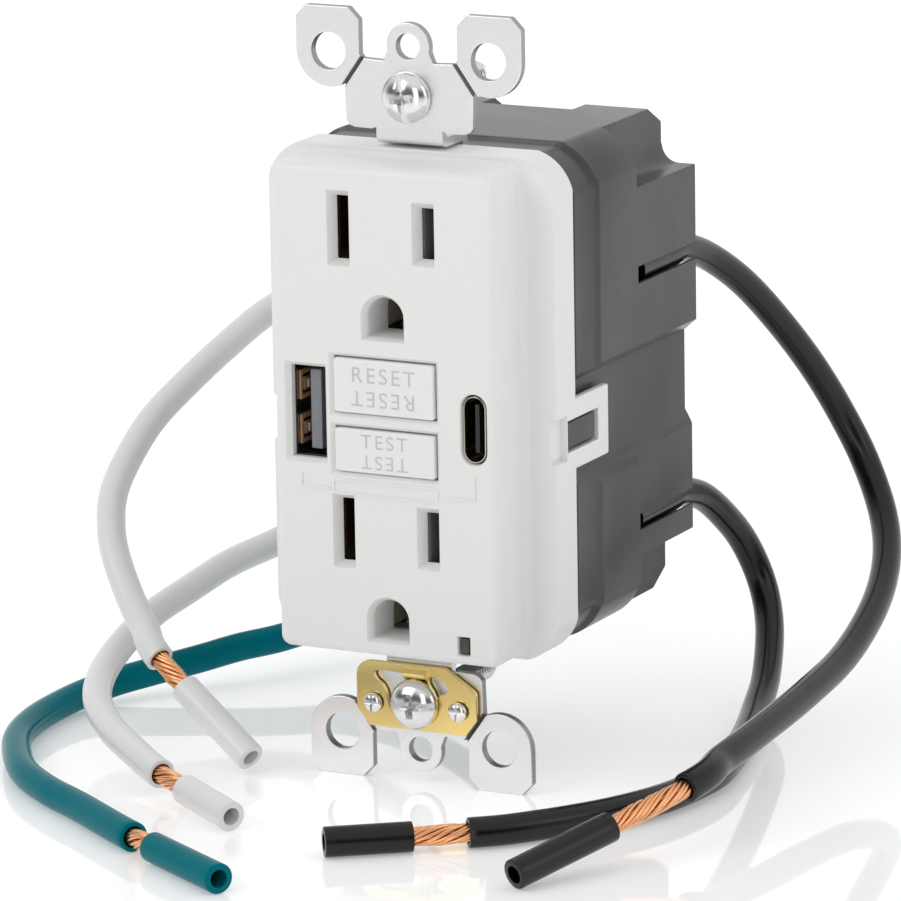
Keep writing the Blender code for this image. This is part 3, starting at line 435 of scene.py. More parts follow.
def boolean(target, operation, tools):
    """Adds or cuts away closed meshes, which are then removed."""
    for tool in tools:
        modifier = target.modifiers.new("boolean", "BOOLEAN")
        modifier.operation = operation
        modifier.solver = "EXACT"
        modifier.object = tool
    bake(target)
    for tool in tools:
        bpy.data.objects.remove(tool)


def cut(target, *tools):
    """Cuts meshes out of the target."""
    boolean(target, "DIFFERENCE", tools)


def join(target, *tools):
    """Adds meshes to the target."""
    boolean(target, "UNION", tools)


def merge(target, *others):
    """Puts several meshes that don't meet into one object."""
    bm = bmesh.new()
    bm.from_mesh(target.data)
    for other in others:
        bm.from_mesh(other.data)
        bpy.data.objects.remove(other)
    bm.to_mesh(target.data)
    bm.free()
    return target


def weld(obj):
    """Takes out the slivers that many cuts in one mesh leave behind, and closes what is left open."""
    bm = bmesh.new()
    bm.from_mesh(obj.data)
    bmesh.ops.remove_doubles(bm, verts=bm.verts, dist=0.002 * MM)
    bmesh.ops.dissolve_degenerate(bm, edges=bm.edges, dist=0.002 * MM)
    bmesh.ops.holes_fill(bm, edges=[edge for edge in bm.edges if edge.is_boundary])
    bmesh.ops.recalc_face_normals(bm, faces=bm.faces)
    bm.to_mesh(obj.data)
    bm.free()


def finish(obj, mat, *nodes, body="housing", sharp=35, slot=None):
    """Shades a piece, gives it its material, ties it to its body and hides the CAD nodes it stands for.
    """
    obj.data.materials.clear()
    obj.data.materials.append(MATS[mat])
    obj.data.shade_smooth()
    obj.data.set_sharp_from_angle(angle=math.radians(sharp))
    weighted = obj.modifiers.new("even shading", "WEIGHTED_NORMAL")
    weighted.keep_sharp = True
    weighted.weight = 80
    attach(obj, body)
    if nodes:
        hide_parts(*nodes)


# --- Leads
def catmull_rom(knots, steps):
    """Points along a Catmull-Rom curve from the second knot to just before the last but one."""
    points = []
    for a, b, c, d in zip(knots, knots[1:], knots[2:], knots[3:]):
        for i in range(steps):
            t = i / steps
            curve = 2 * b + (c - a) * t + (2 * a - 5 * b + 4 * c - d) * t**2
            points.append((curve + (3 * b - a - 3 * c + d) * t**3) / 2)
    return points


def smooth_route(points):
    """Points along a smooth open curve through the given ones, in millimetres."""
    knots = [Vector(p) for p in points]
    knots = [2 * knots[0] - knots[1], *knots, 2 * knots[-1] - knots[-2]]
    return [*catmull_rom(knots, 24), knots[-2]]


def smooth_outline(points):
    """A closed outline without corners through the given points."""
    knots = [Vector(p) for p in (points[-1], *points, *points[:2])]
    return [tuple(point) for point in catmull_rom(knots, 4)]


class Line:
    """A smooth line with a frame carried along it without twist."""

    def __init__(self, points):
        self.points = points
        self.lengths = [0.0]
        for a, b in zip(points, points[1:]):
            self.lengths.append(self.lengths[-1] + (b - a).length)
        tangents = [(b - a).normalized() for a, b in zip(points, points[1:])]
        tangents.append(tangents[-1])
        side = tangents[0].orthogonal().normalized()
        self.frames = []
        for tangent in tangents:
            side = (side - side.dot(tangent) * tangent).normalized()
            self.frames.append((side, tangent.cross(side)))

    def at(self, distance):
        """Point at a distance along the line, and the two directions across it."""
        distance = min(max(distance, 0.0), self.lengths[-1])
        low, high = 0, len(self.lengths) - 2
        while low < high:
            middle = (low + high) // 2
            if self.lengths[middle + 1] < distance:
                low = middle + 1
            else:
                high = middle
        span = self.lengths[low + 1] - self.lengths[low]
        share = (distance - self.lengths[low]) / span if span else 0.0
        point = self.points[low].lerp(self.points[low + 1], share)
        side, other = self.frames[low]
        next_side, next_other = self.frames[low + 1]
        return point, side.lerp(next_side, share), other.lerp(next_other, share)


def sweep(bm, line, rings, sides, closed=False):
    """Adds a skin of rings, (distance, radius) pairs, round a line, with its ends filled or joined."""
    angles = [2 * math.pi * i / sides for i in range(sides)]
    grid = []
    for distance, radius in rings:
        point, side, other = line.at(distance)
        grid.append([
            bm.verts.new(point + radius * (math.cos(a) * side + math.sin(a) * other)) for a in angles
        ])
    skin(bm, grid, closed)
    if not closed:
        bm.faces.new(grid[0])
        bm.faces.new(grid[-1])


def spaced(start, end, step):
    """Evenly spaced distances, both ends included."""
    count = max(1, math.ceil((end - start) / step))
    return [start + (end - start) * i / count for i in range(count + 1)]


def make_jacket(name, line, end):
    """Insulation with a softly cut end and a bore where the strands leave it."""
    bm = bmesh.new()
    r = LEAD_RADIUS
    rings = [(s, r) for s in spaced(0, end - 0.14, 1.1)]
    rings += [(end - 0.05, r - 0.05), (end, r - 0.16)]
    rings += [(end - 0.02, 1.5), (end - 0.3, 1.42), (end - 3.5, 1.4)]
    sweep(bm, line, rings, 32)
    return to_object(name, bm)


def make_slug(name, line, start, end):
    """A loose tube of insulation, open at both ends."""
    bm = bmesh.new()
    r, bore = LEAD_RADIUS, 1.22
    rings = [(start, bore), (start, r - 0.16), (start + 0.05, r - 0.05)]
    rings += [(s, r) for s in spaced(start + 0.14, end - 0.14, 1.5)]
    rings += [(end - 0.05, r - 0.05), (end, r - 0.16), (end, bore)]
    rings += [(s, bore) for s in reversed(spaced(start + 0.5, end - 0.5, 3.0))]
    sweep(bm, line, rings, 32, closed=True)
    return to_object(name, bm)


def make_strands(name, line, start, end, seed):
    """Bare copper wires twisted into one bundle, a little loosened by the cut."""
    rng = random.Random(seed)
    bm = bmesh.new()
    inside = 1.5  # how far the strands run on inside the insulation at both ends
    length = end - start
    for radius, count, phase in STRAND_RINGS:
        for k in range(count):
            angle = 2 * math.pi * (k + phase) / count + rng.uniform(-0.06, 0.06)
            wobble, push = rng.uniform(0, 6.28), rng.uniform(-0.04, 0.10)
            points = []
            for s in spaced(start - inside, end + inside, 0.55):
                point, side, other = line.at(s)
                share = min(max((s - start) / length, 0), 1)
                bulge = 1 + (0.10 + push) * math.sin(math.pi * share)
                turn = angle - 2 * math.pi * (s - start) / STRAND_TWIST
                turn += 0.09 * math.sin(4.2 * share + wobble)
                r = radius * bulge
                points.append(point + r * (math.cos(turn) * side + math.sin(turn) * other))
            wire = Line(points)
            sweep(bm, wire, [(d, STRAND_RADIUS) for d in spaced(0, wire.lengths[-1], 0.6)], 8)
    return to_object(name, bm)


def make_leads():
    """The five leads, each with its strands and its slug."""
    for seed, (name, points, length, bare, slug, mat, exit_mm) in enumerate(LEADS):
        line = Line(smooth_route(points))
        total = line.lengths[-1]
        slug_start = total - slug
        jacket_end = slug_start - bare
        jacket = make_jacket(f"{name}_wire", line, jacket_end)
        finish(jacket, mat, f"{name}_lead", slot=mat)
        strands = make_strands(f"{name}_copper", line, jacket_end, slug_start, seed)
        finish(strands, "copper", f"{name}_strands", sharp=60, slot="copper")
        tip = make_slug(f"{name}_end", line, slug_start, total)
        finish(tip, mat, f"{name}_slug", slot=mat)


make_leads()


# --- Front cover
def rect(cx, cz, half_width, half_height):
    """Outline of a rectangle."""
    return rounded_rect(half_width, half_height, 0.12, 2, cx, cz)


def shell_outline(half_width, half_height, size, cz=0.0):
    """Outline of the body: straight sides whose corners are flat arcs that meet them at 15 degrees."""
    meet = 15
    radius = size / math.sqrt(0.5)
    reach = radius * math.cos(math.radians(meet))
    return corner_arcs(half_width - reach, half_height - reach, radius, 12, cz=cz, meet=meet)


def arch(pin_z, radius, depth):
    """Outline of a ground hole: flat at the bottom and round at the top."""
    bottom = pin_z - depth
    return [(-radius, bottom), (0, bottom), (radius, bottom), *arc(0, pin_z, radius, 0, 180, 24)]


def make_cover():
    """Face, fillet, flange and latch loops, with every opening and its sloped mouth."""
    corners = rounded_rect(FACE_HALF_WIDTH, FACE_HALF_HEIGHT, 1.5)
    cover = prism("cover", corners, FACE_Y, 0.5, bevel=1.0, segments=5)
    fillet = [
        (FLANGE_FRONT - 1.15, 0.02), (FLANGE_FRONT - 0.75, 0.09), (FLANGE_FRONT - 0.4, 0.26),
        (FLANGE_FRONT - 0.15, 0.5), (FLANGE_FRONT - 0.02, 0.85), (FLANGE_FRONT + 1.5, 0.95),
    ]
    layers = [
        (y, rounded_rect(FACE_HALF_WIDTH + d, FACE_HALF_HEIGHT + min(d, 0.6), 1.5 + d))
        for y, d in fillet
    ]
    flange = shell_outline(FLANGE_HALF_WIDTH, FLANGE_HALF_HEIGHT, FLANGE_CORNER, FLANGE_MIDDLE)
    join(
        cover,
        stack("fillet", layers),
        prism("flange", flange, FLANGE_FRONT, FLANGE_BACK, bevel=0.28),
    )
    for side in (-1, 1):
        low, high = (20.3, 2.6, LATCH_Z - 4.85), (FLANGE_HALF_WIDTH - 0.01, 14.5, LATCH_Z + 4.85)
        join(cover, side_box("loop", side, low, high, 0.3))
    outer = (FLANGE_HALF_WIDTH, FLANGE_HALF_HEIGHT, FLANGE_CORNER)
    inner = rounded_rect(*[size - FLANGE_WALL for size in outer], cz=FLANGE_MIDDLE)
    cut(
        cover,
        box("hollow", (-HOLLOW_HALF_WIDTH, FACE_Y + WALL, -32.0), (HOLLOW_HALF_WIDTH, 2.0, 32.0)),
        prism("flange hollow", inner, FLANGE_FRONT + FLANGE_WALL, FLANGE_BACK + 1),
    )
    for side in (-1, 1):
        cut(
            cover,
            side_box("window", side, (19.0, 1.8, LATCH_Z - 2.2), (23.0, 11.2, LATCH_Z + 2.2)),
            side_box("notch", side, (20.45, -4.0, LATCH_Z - 3.2), (23.0, 1.6, LATCH_Z + 3.0)),
        )
    openings(cover)
    add_ridges(cover)
    for pin_z in (UPPER_PIN_Z, LOWER_PIN_Z):
        sleeve = prism("sleeve", arch(pin_z, 3.28, 3.4), FACE_Y + WALL - 0.2, -3.2)
        cut(sleeve, prism("sleeve bore", arch(pin_z, *PIN_BORE), FACE_Y + WALL - 1, 0))
        join(cover, sleeve)
    finish(cover, "white_plastic", "front_cover", sharp=32, slot="cover")


def through(name, mouth, hole, slope):
    """Cutter for an opening whose mouth slopes in to a straight hole."""
    return stack(name, [
        (FACE_Y - 0.6, mouth), (FACE_Y, mouth), (FACE_Y + slope, hole), (FACE_Y + WALL + 0.6, hole),
    ])


def openings(cover):
    """Blade slots, ground holes, button wells, USB ports and the light's window."""
    tools = []
    for blade_z, pin_z in ((UPPER_BLADE_Z, UPPER_PIN_Z), (LOWER_BLADE_Z, LOWER_PIN_Z)):
        for x, half in ((-BLADE_X, 4.3), (BLADE_X, 3.45)):
            mouth = rect(x - 0.05, blade_z, 1.68, half + 0.85)
            tools.append(through("slot", mouth, rect(x + 0.05, blade_z - 0.1, 1.0, half), 1.5))
        mouth = arch(pin_z, 3.25, 3.15)
        tools.append(through("ground", mouth, arch(pin_z, *PIN_BORE), 0.9))
    for z, half in ((RESET_Z, 3.7), (TEST_Z, 2.95)):
        mouth = rect(0, z, BUTTON_HALF_WIDTH + 0.75, half + 0.7)
        hole = rect(0, z, BUTTON_HALF_WIDTH + 0.22, half + 0.22)
        tools.append(through("well", mouth, hole, 0.55))
    x, z = USB_A
    mouth, hole = rect(x - 0.1, z, 3.15, 6.85), rect(x, z, 2.57, 6.32)
    tools.append(through("usb a", mouth, hole, 0.75))
    x, z = USB_C
    mouth = rounded_rect(2.0, 4.92, 1.98, 8, x, z)
    tools.append(through("usb c", mouth, rounded_rect(1.86, 4.78, 1.85, 8, x, z), 0.25))
    x, z = LIGHT
    tools.append(through("light", rect(x, z, 1.0, 1.4), rect(x, z, 0.86, 1.26), 0.25))
    cut(cover, *tools)


def add_ridges(cover):
    """The raised outline under the buttons and the two raised corner lines beside the USB ports."""
    low, high = FACE_Y - 0.2, FACE_Y + 0.3
    outer = rounded_rect(7.95, 1.05, 0.5, 4, cz=-10.3)
    frame_ridge = prism("rating frame", outer, low, high)
    cut(frame_ridge, prism("inside", rounded_rect(7.7, 0.8, 0.35, 4, cz=-10.3), low - 1, high + 1))
    lines = [
        [
            (-12.75, -9.0), (-12.5, -9.0), (-12.5, -10.55), (-8.2, -10.55), (-8.2, -10.8),
            (-12.75, -10.8),
        ],
        [(13.25, -7.2), (13.5, -7.2), (13.5, -10.55), (9.2, -10.55), (9.2, -10.3), (13.25, -10.3)],
    ]
    ridges = [prism("corner line", line, low, high) for line in lines]
    join(cover, frame_ridge, *ridges)


# --- Buttons
def lettering(name, word, size, places, front, body):
    """Thin letters of a function word on a button, once upright and once upside down, in a grey that is
    painted shade of the lettering's relief.
    """
    whole = None
    for z, turn in places:
        curve = bpy.data.curves.new(name, "FONT")
        curve.body = word
        curve.size = size * MM
        curve.align_x = "CENTER"
        curve.align_y = "CENTER"
        curve.extrude = 0.03 * MM
        curve.space_character = 1.26
        curve.offset = -0.018 * MM
        obj = add_object(name, curve)
        mesh = evaluated_mesh(obj)
        bpy.data.objects.remove(obj)
        mesh.transform(Matrix.Rotation(math.radians(turn), 4, "Z"))
        mesh.transform(Matrix.Rotation(math.radians(90), 4, "X"))
        mesh.transform(Matrix.Translation((0, front * MM, z * MM)))
        piece = add_object(name, mesh)
        whole = piece if whole is None else merge(whole, piece)
    whole.name = name
    finish(whole, "letter_painted_shade", body=body, sharp=20, slot="buttons")


def make_button(name, z, half_height, body, stem_end, word, size, spread):
    """A push button with a softly rounded front, its lip behind the face and its stem."""
    front = FACE_Y - 0.15
    outline = rounded_rect(BUTTON_HALF_WIDTH, half_height, 0.35, 4, cz=z)
    button = prism(f"{name}_key", outline, front, -7.6, bevel=0.24, segments=4)
    lip = half_height + 0.6
    join(button, box("lip", (-8.4, -8.05, z - lip), (8.4, -7.3, z + lip), 0.1, 2))
    if stem_end:
        profile = [(0, stem_end), (0.9, stem_end), (1.0, stem_end - 0.1), (1.0, -7.5), (0, -7.5)]
        join(button, turned("stem", profile, (0, 0, z), sides=24))
    finish(button, "button_plastic", f"{name}_button", body=body, slot="buttons")
    lettering(f"{name}_word", word, size, [(z + spread, 0), (z - spread, 180)], front - 0.01, body)


# --- Rear housing
def make_housing():
    """Tub, core and side blocks, with their waist, hollows, slots, bores and latch hooks."""
    steps = [
        (TUB_FRONT, 0.6), (TUB_FRONT + 0.15, 0.45), (10.2, 0.45), (11.2, 0.0), (12.0, 0.0),
        (TUB_BACK - 0.2, 0.0), (TUB_BACK, 0.2),
    ]
    housing = stack("housing_shell", [
        (y, shell_outline(TUB_HALF_WIDTH - d, TUB_HALF_HEIGHT - d, FLANGE_CORNER + 0.6, TUB_MIDDLE))
        for y, d in steps
    ])
    core = [
        (TUB_BACK - 4, CORE_BOTTOM), (HOUSING_BACK - CORE_SLOPE, CORE_BOTTOM),
        (HOUSING_BACK, CORE_BOTTOM + CORE_CHAMFER), (HOUSING_BACK, CORE_TOP - CORE_CHAMFER),
        (HOUSING_BACK - CORE_SLOPE, CORE_TOP), (TUB_BACK - 4, CORE_TOP),
    ]
    join(housing, prism("core", core, -FACE_HALF_WIDTH, FACE_HALF_WIDTH, "X", bevel=0.3))
    for side in (-1, 1):
        blocks = [
            (13, 29.2), *arc(19.3, 29.0, 2.62, 180, 270, 8), (21.7, 26.4), (21.7, -3.0), (20.9, -3.0),
            (20.9, -25.3), (13, -25.3),
        ]
        shape = [(side * x, z) for x, z in blocks]
        join(housing, prism("blocks", shape, TUB_BACK - 3, HOUSING_BACK + 0.1, bevel=0.22, segments=2))
    shape_sides(housing)
    hollow_housing(housing)
    for side in (-1, 1):
        low, high = sorted((side * 19.0, side * 21.1))
        hook = [(y, LATCH_Z + z) for y, z in ((2.3, -1.8), (10.7, -1.8), (10.7, 1.8), (2.3, 1.8))]
        join(housing, prism("hook", hook, low, high, "X", bevel=0.2, segments=2))
    weld(housing)
    finish(housing, "dark_plastic", "rear_housing", sharp=30, slot="housing")


def shape_sides(housing):
    """The waist in each side, with sloped ends, that the latch loops lie in."""
    waist = [(24.0, 6.56), (21.7, 4.6), (19.75, 2.9), (19.75, -8.3), (20.9, -10.4), (24.0, -16.06)]
    cut(housing, *[
        prism("waist", [(side * x, z) for x, z in waist], TUB_FRONT - 1, HOUSING_BACK + 2)
        for side in (-1, 1)
    ])


def hollow_housing(housing):
    """The hollow, the rear's recess, panel, ribs and ejector marks, the latch recesses, the strap
    notches, and the leads' slots and bores."""
    half = HOLLOW_HALF_WIDTH
    cut(
        housing,
        prism("tub hollow", rounded_rect(18.4, 32.6, 2.5, 3), TUB_FRONT - 1, TUB_BACK - 1.6),
        box("core hollow", (-half, TUB_BACK - 2.5, -31.9), (half, 32.4, 31.9)),
        box("rear hollow", (-half, 32.0, -31.2), (half, HOUSING_BACK - 1.8, 16.4)),
        box("rear recess", (-7.0, 34.0, 18.0), (7.0, HOUSING_BACK + 2, 40.0), 0.3, 2),
        box("rear panel", (-12.5, HOUSING_BACK - 0.25, -19.5), (12.5, HOUSING_BACK + 2, 14.5), 0.2, 2),
        *[
            drill(1.6, 44.0, HOUSING_BACK - 0.15, x, z, 32)  # ejector mark
            for x, z in ((-13.2, 28.6), (13.2, 28.6), (13.2, -27.5), (0.5, -26.5))
        ],
    )
    front, back = HOUSING_BACK - 1.0, HOUSING_BACK - 0.02
    join(housing, *[
        box("rear rib", (x - 0.35, front, -17.0), (x + 0.35, back, 12.0), 0.12, 2)
        for x in (-8.0, 0.0, 8.0)
    ])
    front = TUB_BACK + 0.1
    for side in (-1, 1):
        loop_low, loop_high = (20.0, 3.0, LATCH_Z - 5.2), (23.0, 14.9, LATCH_Z + 5.2)
        low, high = sorted((side * 31.0, side * 36.0))
        cut(
            housing,
            side_box("pocket", side, (8.6, 32.1, 16.0), (15.0, HOUSING_BACK - 1.9, 31.0)),
            side_box("loop recess", side, loop_low, loop_high, 0.15, 2),
            box("strap notch", (-5.4, 3.0, low), (5.4, 6.6, high)),
        )
        tools = []
        for (x, z), half_slot in ((UPPER_LEAD, 1.2), (LOWER_LEAD, 1.15)):
            tools.append(drill(2.4, 44.5, front, side * x, z, 40))
            tools.append(side_box("slot", side, (x, front, z - half_slot), (23.0, 44.0, z + half_slot)))
        cut(housing, *tools)
    cut(housing, drill(2.75, 45.0, 39.0, *GROUND_LEAD, 40))


# --- Strap, ground plate and fasteners
def strap_end(sign):
    """Outline of one end of the strap: neck, plate, two plaster ears and the wall-plate tab."""
    half = [
        (5.0, 37.2), (5.6, 36.95), (8.2, 37.0), (9.0, 37.3), (9.5, 37.9),
        *arc(*EAR_HOLE, 4.9, -118, 0, 14),
        (16.85, 51.6), (15.3, EAR_TOP), (8.9, EAR_TOP), (7.3, 51.6), (7.3, 46.95), (6.9, 46.45),
        (3.7, 46.3), *arc(0, PLATE_HOLE_PITCH / 2, 3.2, -12, 90, 9),
    ]
    outline = half + [(-x, z) for x, z in reversed(half[:-1])]
    return [(x, sign * z) for x, z in outline]


def hole(x, z, radius):
    """Cutter for a punched hole through the strap, with the rolled edge that a punch leaves."""
    lead_in = 0.14
    profile = [
        (0, 1.0), (radius + 0.02, 1.0), (radius, 0.0), (radius, -STRAP_THICK + lead_in),
        (radius + 0.05, -STRAP_THICK + 0.04), (radius + lead_in, -STRAP_THICK),
        (radius + lead_in, -2.4), (0, -2.4),
    ]
    return turned("hole", profile, (x, 0, z), sides=48)


def score(side, sign):
    """Cutter for the V-shaped groove along which an ear is snapped off."""
    a, b = Vector((side * 6.75, 0, sign * 46.75)), Vector((side * 9.75, 0, sign * 42.55))
    along = (b - a).normalized()
    across = Vector((along.z, 0, -along.x)) * SCORE_HALF_WIDTH
    front = Vector((0, -STRAP_THICK - 0.05, 0))
    bottom = Vector((0, -STRAP_THICK + SCORE_DEPTH, 0))
    bm = bmesh.new()
    ends = [
        [bm.verts.new(point + offset) for offset in (front - across, front + across, bottom)]
        for point in (a - along * 0.5, b + along * 0.6)
    ]
    bm.faces.new(ends[0])
    bm.faces.new(ends[1])
    skin(bm, ends)
    return to_object("score", bm)


def make_strap():
    """Zinc-plated strap: pierced ends with scored ears, bent into a band through the body."""
    pieces = []
    ear_x, ear_z = EAR_HOLE
    for sign in (1, -1):
        end = prism("strap", strap_end(sign), -STRAP_THICK, 0, bevel=0.16)
        holes = [
            hole(-ear_x, sign * ear_z, 2.55), hole(ear_x, sign * ear_z, 2.55),
            hole(0, sign * PLATE_HOLE_PITCH / 2, 1.75), hole(0, sign * SCREW_PITCH / 2, 2.05),
        ]
        if sign < 0:
            holes += [hole(-RIVET_X, RIVET_Z, 1.1), hole(RIVET_X, RIVET_Z, 1.1)]
        cut(end, *holes)
        cut(end, *[score(side, sign) for side in (-1, 1)])
        pieces.append(end)
    strap, lower = pieces
    bend = [
        (-1.25, 37.6), (-1.25, 36.9), *arc(-0.05, 36.2, 1.2, 180, 270, 6),
        (4.55, 35.0), (4.8, 34.75), (4.8, 20.0), (6.1, 20.0), (6.1, 35.0),
        *arc(4.9, 35.1, 1.2, 0, 90, 6), (0.3, 36.3), (-0.05, 36.6), (-0.05, 37.6),
    ]
    band = [prism("bend", [(y, sign * z) for y, z in bend], -4.95, 4.95, "X") for sign in (1, -1)]
    band.append(box("band", (-4.95, 4.8, -21.0), (4.95, 6.1, 21.0)))
    join(strap, lower, *band, box("widening", (-8.6, 4.85, -12.0), (8.6, 6.05, 9.4)))
    cut(strap, box("strap window", (-6.2, 4.0, -10.0), (6.2, 7.0, 7.8)))
    finish(strap, "zinc_steel", "mounting_strap", sharp=30, slot="strap")
    # faces off the front and back planes get the darker steel: the cut edges and hole walls as bare cut
    # steel, the score grooves' walls as painted shade in their creases
    strap.data.materials.append(MATS["cut_steel_and_groove_shade"])
    for face in strap.data.polygons:
        cut_edges_and_grooves = abs(face.normal.y) < 0.55 and face.center.y < -0.05 * MM
        face.material_index = 1 if cut_edges_and_grooves else 0


def make_ground_plate():
    """Brass spring plate with two curved openings and a tongue that presses on the lower screw."""
    z = -SCREW_PITCH / 2
    outline = [
        *arc(-7.0, z + 3.1, 2.15, 180, 90, 8), *arc(4.2, z + 4.25, 1.0, 90, 55, 3), (8.1, z + 2.95),
        *arc(8.0, z + 1.7, 1.1, 45, 0, 4), (9.1, z - 1.6), (7.4, z - 3.9), (-7.2, z - 3.9),
        (-9.15, z - 1.6),
    ]
    back = -STRAP_THICK - BRASS_GAP
    plate = prism("brass_plate", outline, back - 0.7, back, bevel=0.14)
    left = [
        (-6.45, 3.3), (-6.1, 3.9), (-5.1, 4.1), (-2.3, 3.95), (-1.8, 3.6), (-1.85, 2.6), (-2.6, 1.5),
        (-2.95, 0.0), (-3.3, -1.7), (-3.85, -1.8), (-4.3, -0.6), (-4.55, 0.8), (-5.1, 1.9), (-6.0, 2.6),
    ]
    right = [
        (1.8, 3.3), (2.2, 3.85), (3.3, 3.75), (4.4, 3.1), (4.85, 2.3), (4.6, 1.8),
        (3.7, 1.4), (3.0, 0.8), (2.5, 1.7), (1.9, 2.6),
    ]
    kidneys = [[(x, z + dz) for x, dz in smooth_outline(side)] for side in (left, right)]
    tools = [prism("kidney", k, back - 1.6, back + 0.5) for k in kidneys]
    tools += [drill(1.1, 1.0, -3.0, x, RIVET_Z, 32) for x in (-RIVET_X, RIVET_X)]
    cut(plate, *tools, drill(2.05, 1.0, -3.0, 0, z, 40))
    crest = [(back - 0.6, z + 5.0), (back - 0.75, z + 4.7), *[
        (back - 0.75 - 0.75 * math.sin(math.radians(a)), z + 4.7 - 1.5 * a / 180)
        for a in range(15, 180, 15)
    ], (back - 0.75, z + 3.2), (back - 0.4, z + 2.9)]
    join(plate, prism("tongue", crest, -1.7, 1.7, "X", bevel=0.3, segments=4))
    finish(plate, "brass", "ground_plate", sharp=35, slot="contact_brass")


def make_rivets():
    """Two rivets with round, cross-slotted heads."""
    profile = [
        (0, 0.9), (1.15, 0.9), (1.3, 0.75), (1.3, 0.3), (0.8, 0.28), (0.8, -2.6), (1.35, -2.6),
        (1.38, -2.8), (1.3, -3.0), (1.05, -3.2), (0.6, -3.33), (0, -3.36),
    ]
    for name, x in (("rivet_left", -RIVET_X), ("rivet_right", RIVET_X)):
        z = RIVET_Z
        rivet = turned(name, profile, (x, 0, z), sides=40)
        cut(
            rivet,
            box("slot", (x - 2, -3.6, z - 0.17), (x + 2, -3.0, z + 0.17)),
            box("slot", (x - 0.17, -3.6, z - 2), (x + 0.17, -3.0, z + 2)),
        )
        finish(rivet, "bright_steel", f"ground_{name}", slot="bright_steel")


def threaded(name, radius, core, low, high, centre):
    """A screw thread about Y: the radius rises and falls once for each turn along the shank."""
    bm = bmesh.new()
    sides, per_turn = 28, 8
    rows = int((high - low) / THREAD_PITCH * per_turn)
    grid = []
    for k in range(rows + 1):
        y = low + (high - low) * k / rows
        ring = []
        for i in range(sides):
            phase = (y - low) / THREAD_PITCH - i / sides
            wave = abs(2 * (phase - math.floor(phase)) - 1)
            fade = min(1.0, (high - y) / 1.2, (y - low) / 0.6)
            r = core + (radius - core) * wave * max(fade, 0.0)
            angle = 2 * math.pi * i / sides
            point = Vector((r * math.cos(angle), y, r * math.sin(angle)))
            ring.append(bm.verts.new(Vector(centre) + point))
        grid.append(ring)
    skin(bm, grid)
    bm.faces.new(grid[0])
    bm.faces.new(grid[-1])
    return to_object(name, bm)


def make_screw(name, sign, seat, angle):
    """Machine screw with a domed head, a slot, a cross recess and a rolled thread."""
    z = sign * SCREW_PITCH / 2
    dome = [
        (0, 1.0), (1.5, 1.0), (1.5, 0), (3.3, 0), (3.46, -0.12), (3.5, -0.5), (3.38, -0.9), (3.1, -1.3),
        (2.65, -1.65), (2.1, -1.92), (1.5, -2.1), (0.8, -2.21), (0, -2.25),
    ]
    head = turned(f"{name}_fastener", [(r, seat + y) for r, y in dome], (0, 0, z), sides=64)
    front = seat - 2.6

    def bar(half_length, half_width, degrees):
        """Outline of a slot across the head, turned about its middle."""
        c, s = math.cos(math.radians(degrees)), math.sin(math.radians(degrees))
        a, b = half_length, half_width
        return [(u * c - v * s, z + u * s + v * c) for u, v in ((a, b), (-a, b), (-a, -b), (a, -b))]

    tools = [prism("slot", bar(4.2, 0.45, angle), front, seat - 0.95)]
    for turn in (angle, angle + 90):
        outer, inner = bar(2.15, 0.62, turn), bar(0.45, 0.26, turn)
        tools.append(prism("cross", outer, front, seat - 0.3, end_outline=inner))
    cut(head, *tools)
    merge(head, threaded("thread", 1.72, 1.3, seat + 0.9, 19.5, (0, 0, z)))
    node, body = f"{name}_mounting_screw", f"{name}_screw"
    finish(head, "bright_steel", node, body=body, sharp=38, slot="bright_steel")


def make_retainer(name, sign):
    """Fibre washer on a mounting screw's shank."""
    ring = [(3.2, 1.0), (3.1, 1.1), (2.0, 1.1), (1.95, 1.0)]
    ring += [(1.95, 0.35), (2.0, 0.3), (3.1, 0.3), (3.2, 0.4)]
    washer = turned(f"{name}_washer", ring, (0, 0, sign * SCREW_PITCH / 2), sides=40)
    finish(washer, "fibre", f"{name}_screw_retainer", slot="retainer")


# --- USB ports and the light
def make_usb_a_springs(x, z):
    """The two retaining springs in the shell's side wall, each a frame round a sprung pad."""
    frames, pads = [], []
    slits = (((-6.9, -1.4), (-3.2, -0.85)), ((-6.9, 0.85), (-3.2, 1.4)), ((-7.0, -1.4), (-6.4, 1.4)))
    for middle in (z - 3.05, z + 3.05):
        low, high = (x - 2.46, -7.5, middle - 2.0), (x - 2.16, -2.6, middle + 2.0)
        spring = box("usb_a_springs", low, high, 0.08, 2)
        for (front, below), (back, above) in slits:
            cut(spring, box("slit", (x - 3, front, middle + below), (x - 1, back, middle + above)))
        frames.append(spring)
        low, high = (x - 2.14, -5.9, middle - 0.6), (x - 1.8, -4.4, middle + 0.6)
        pads.append(box("usb_a_pads", low, high, 0.12))
    finish(merge(*frames), "spring_bronze", slot="contact_brass")
    finish(merge(*pads), "pad_steel", slot="bright_steel")


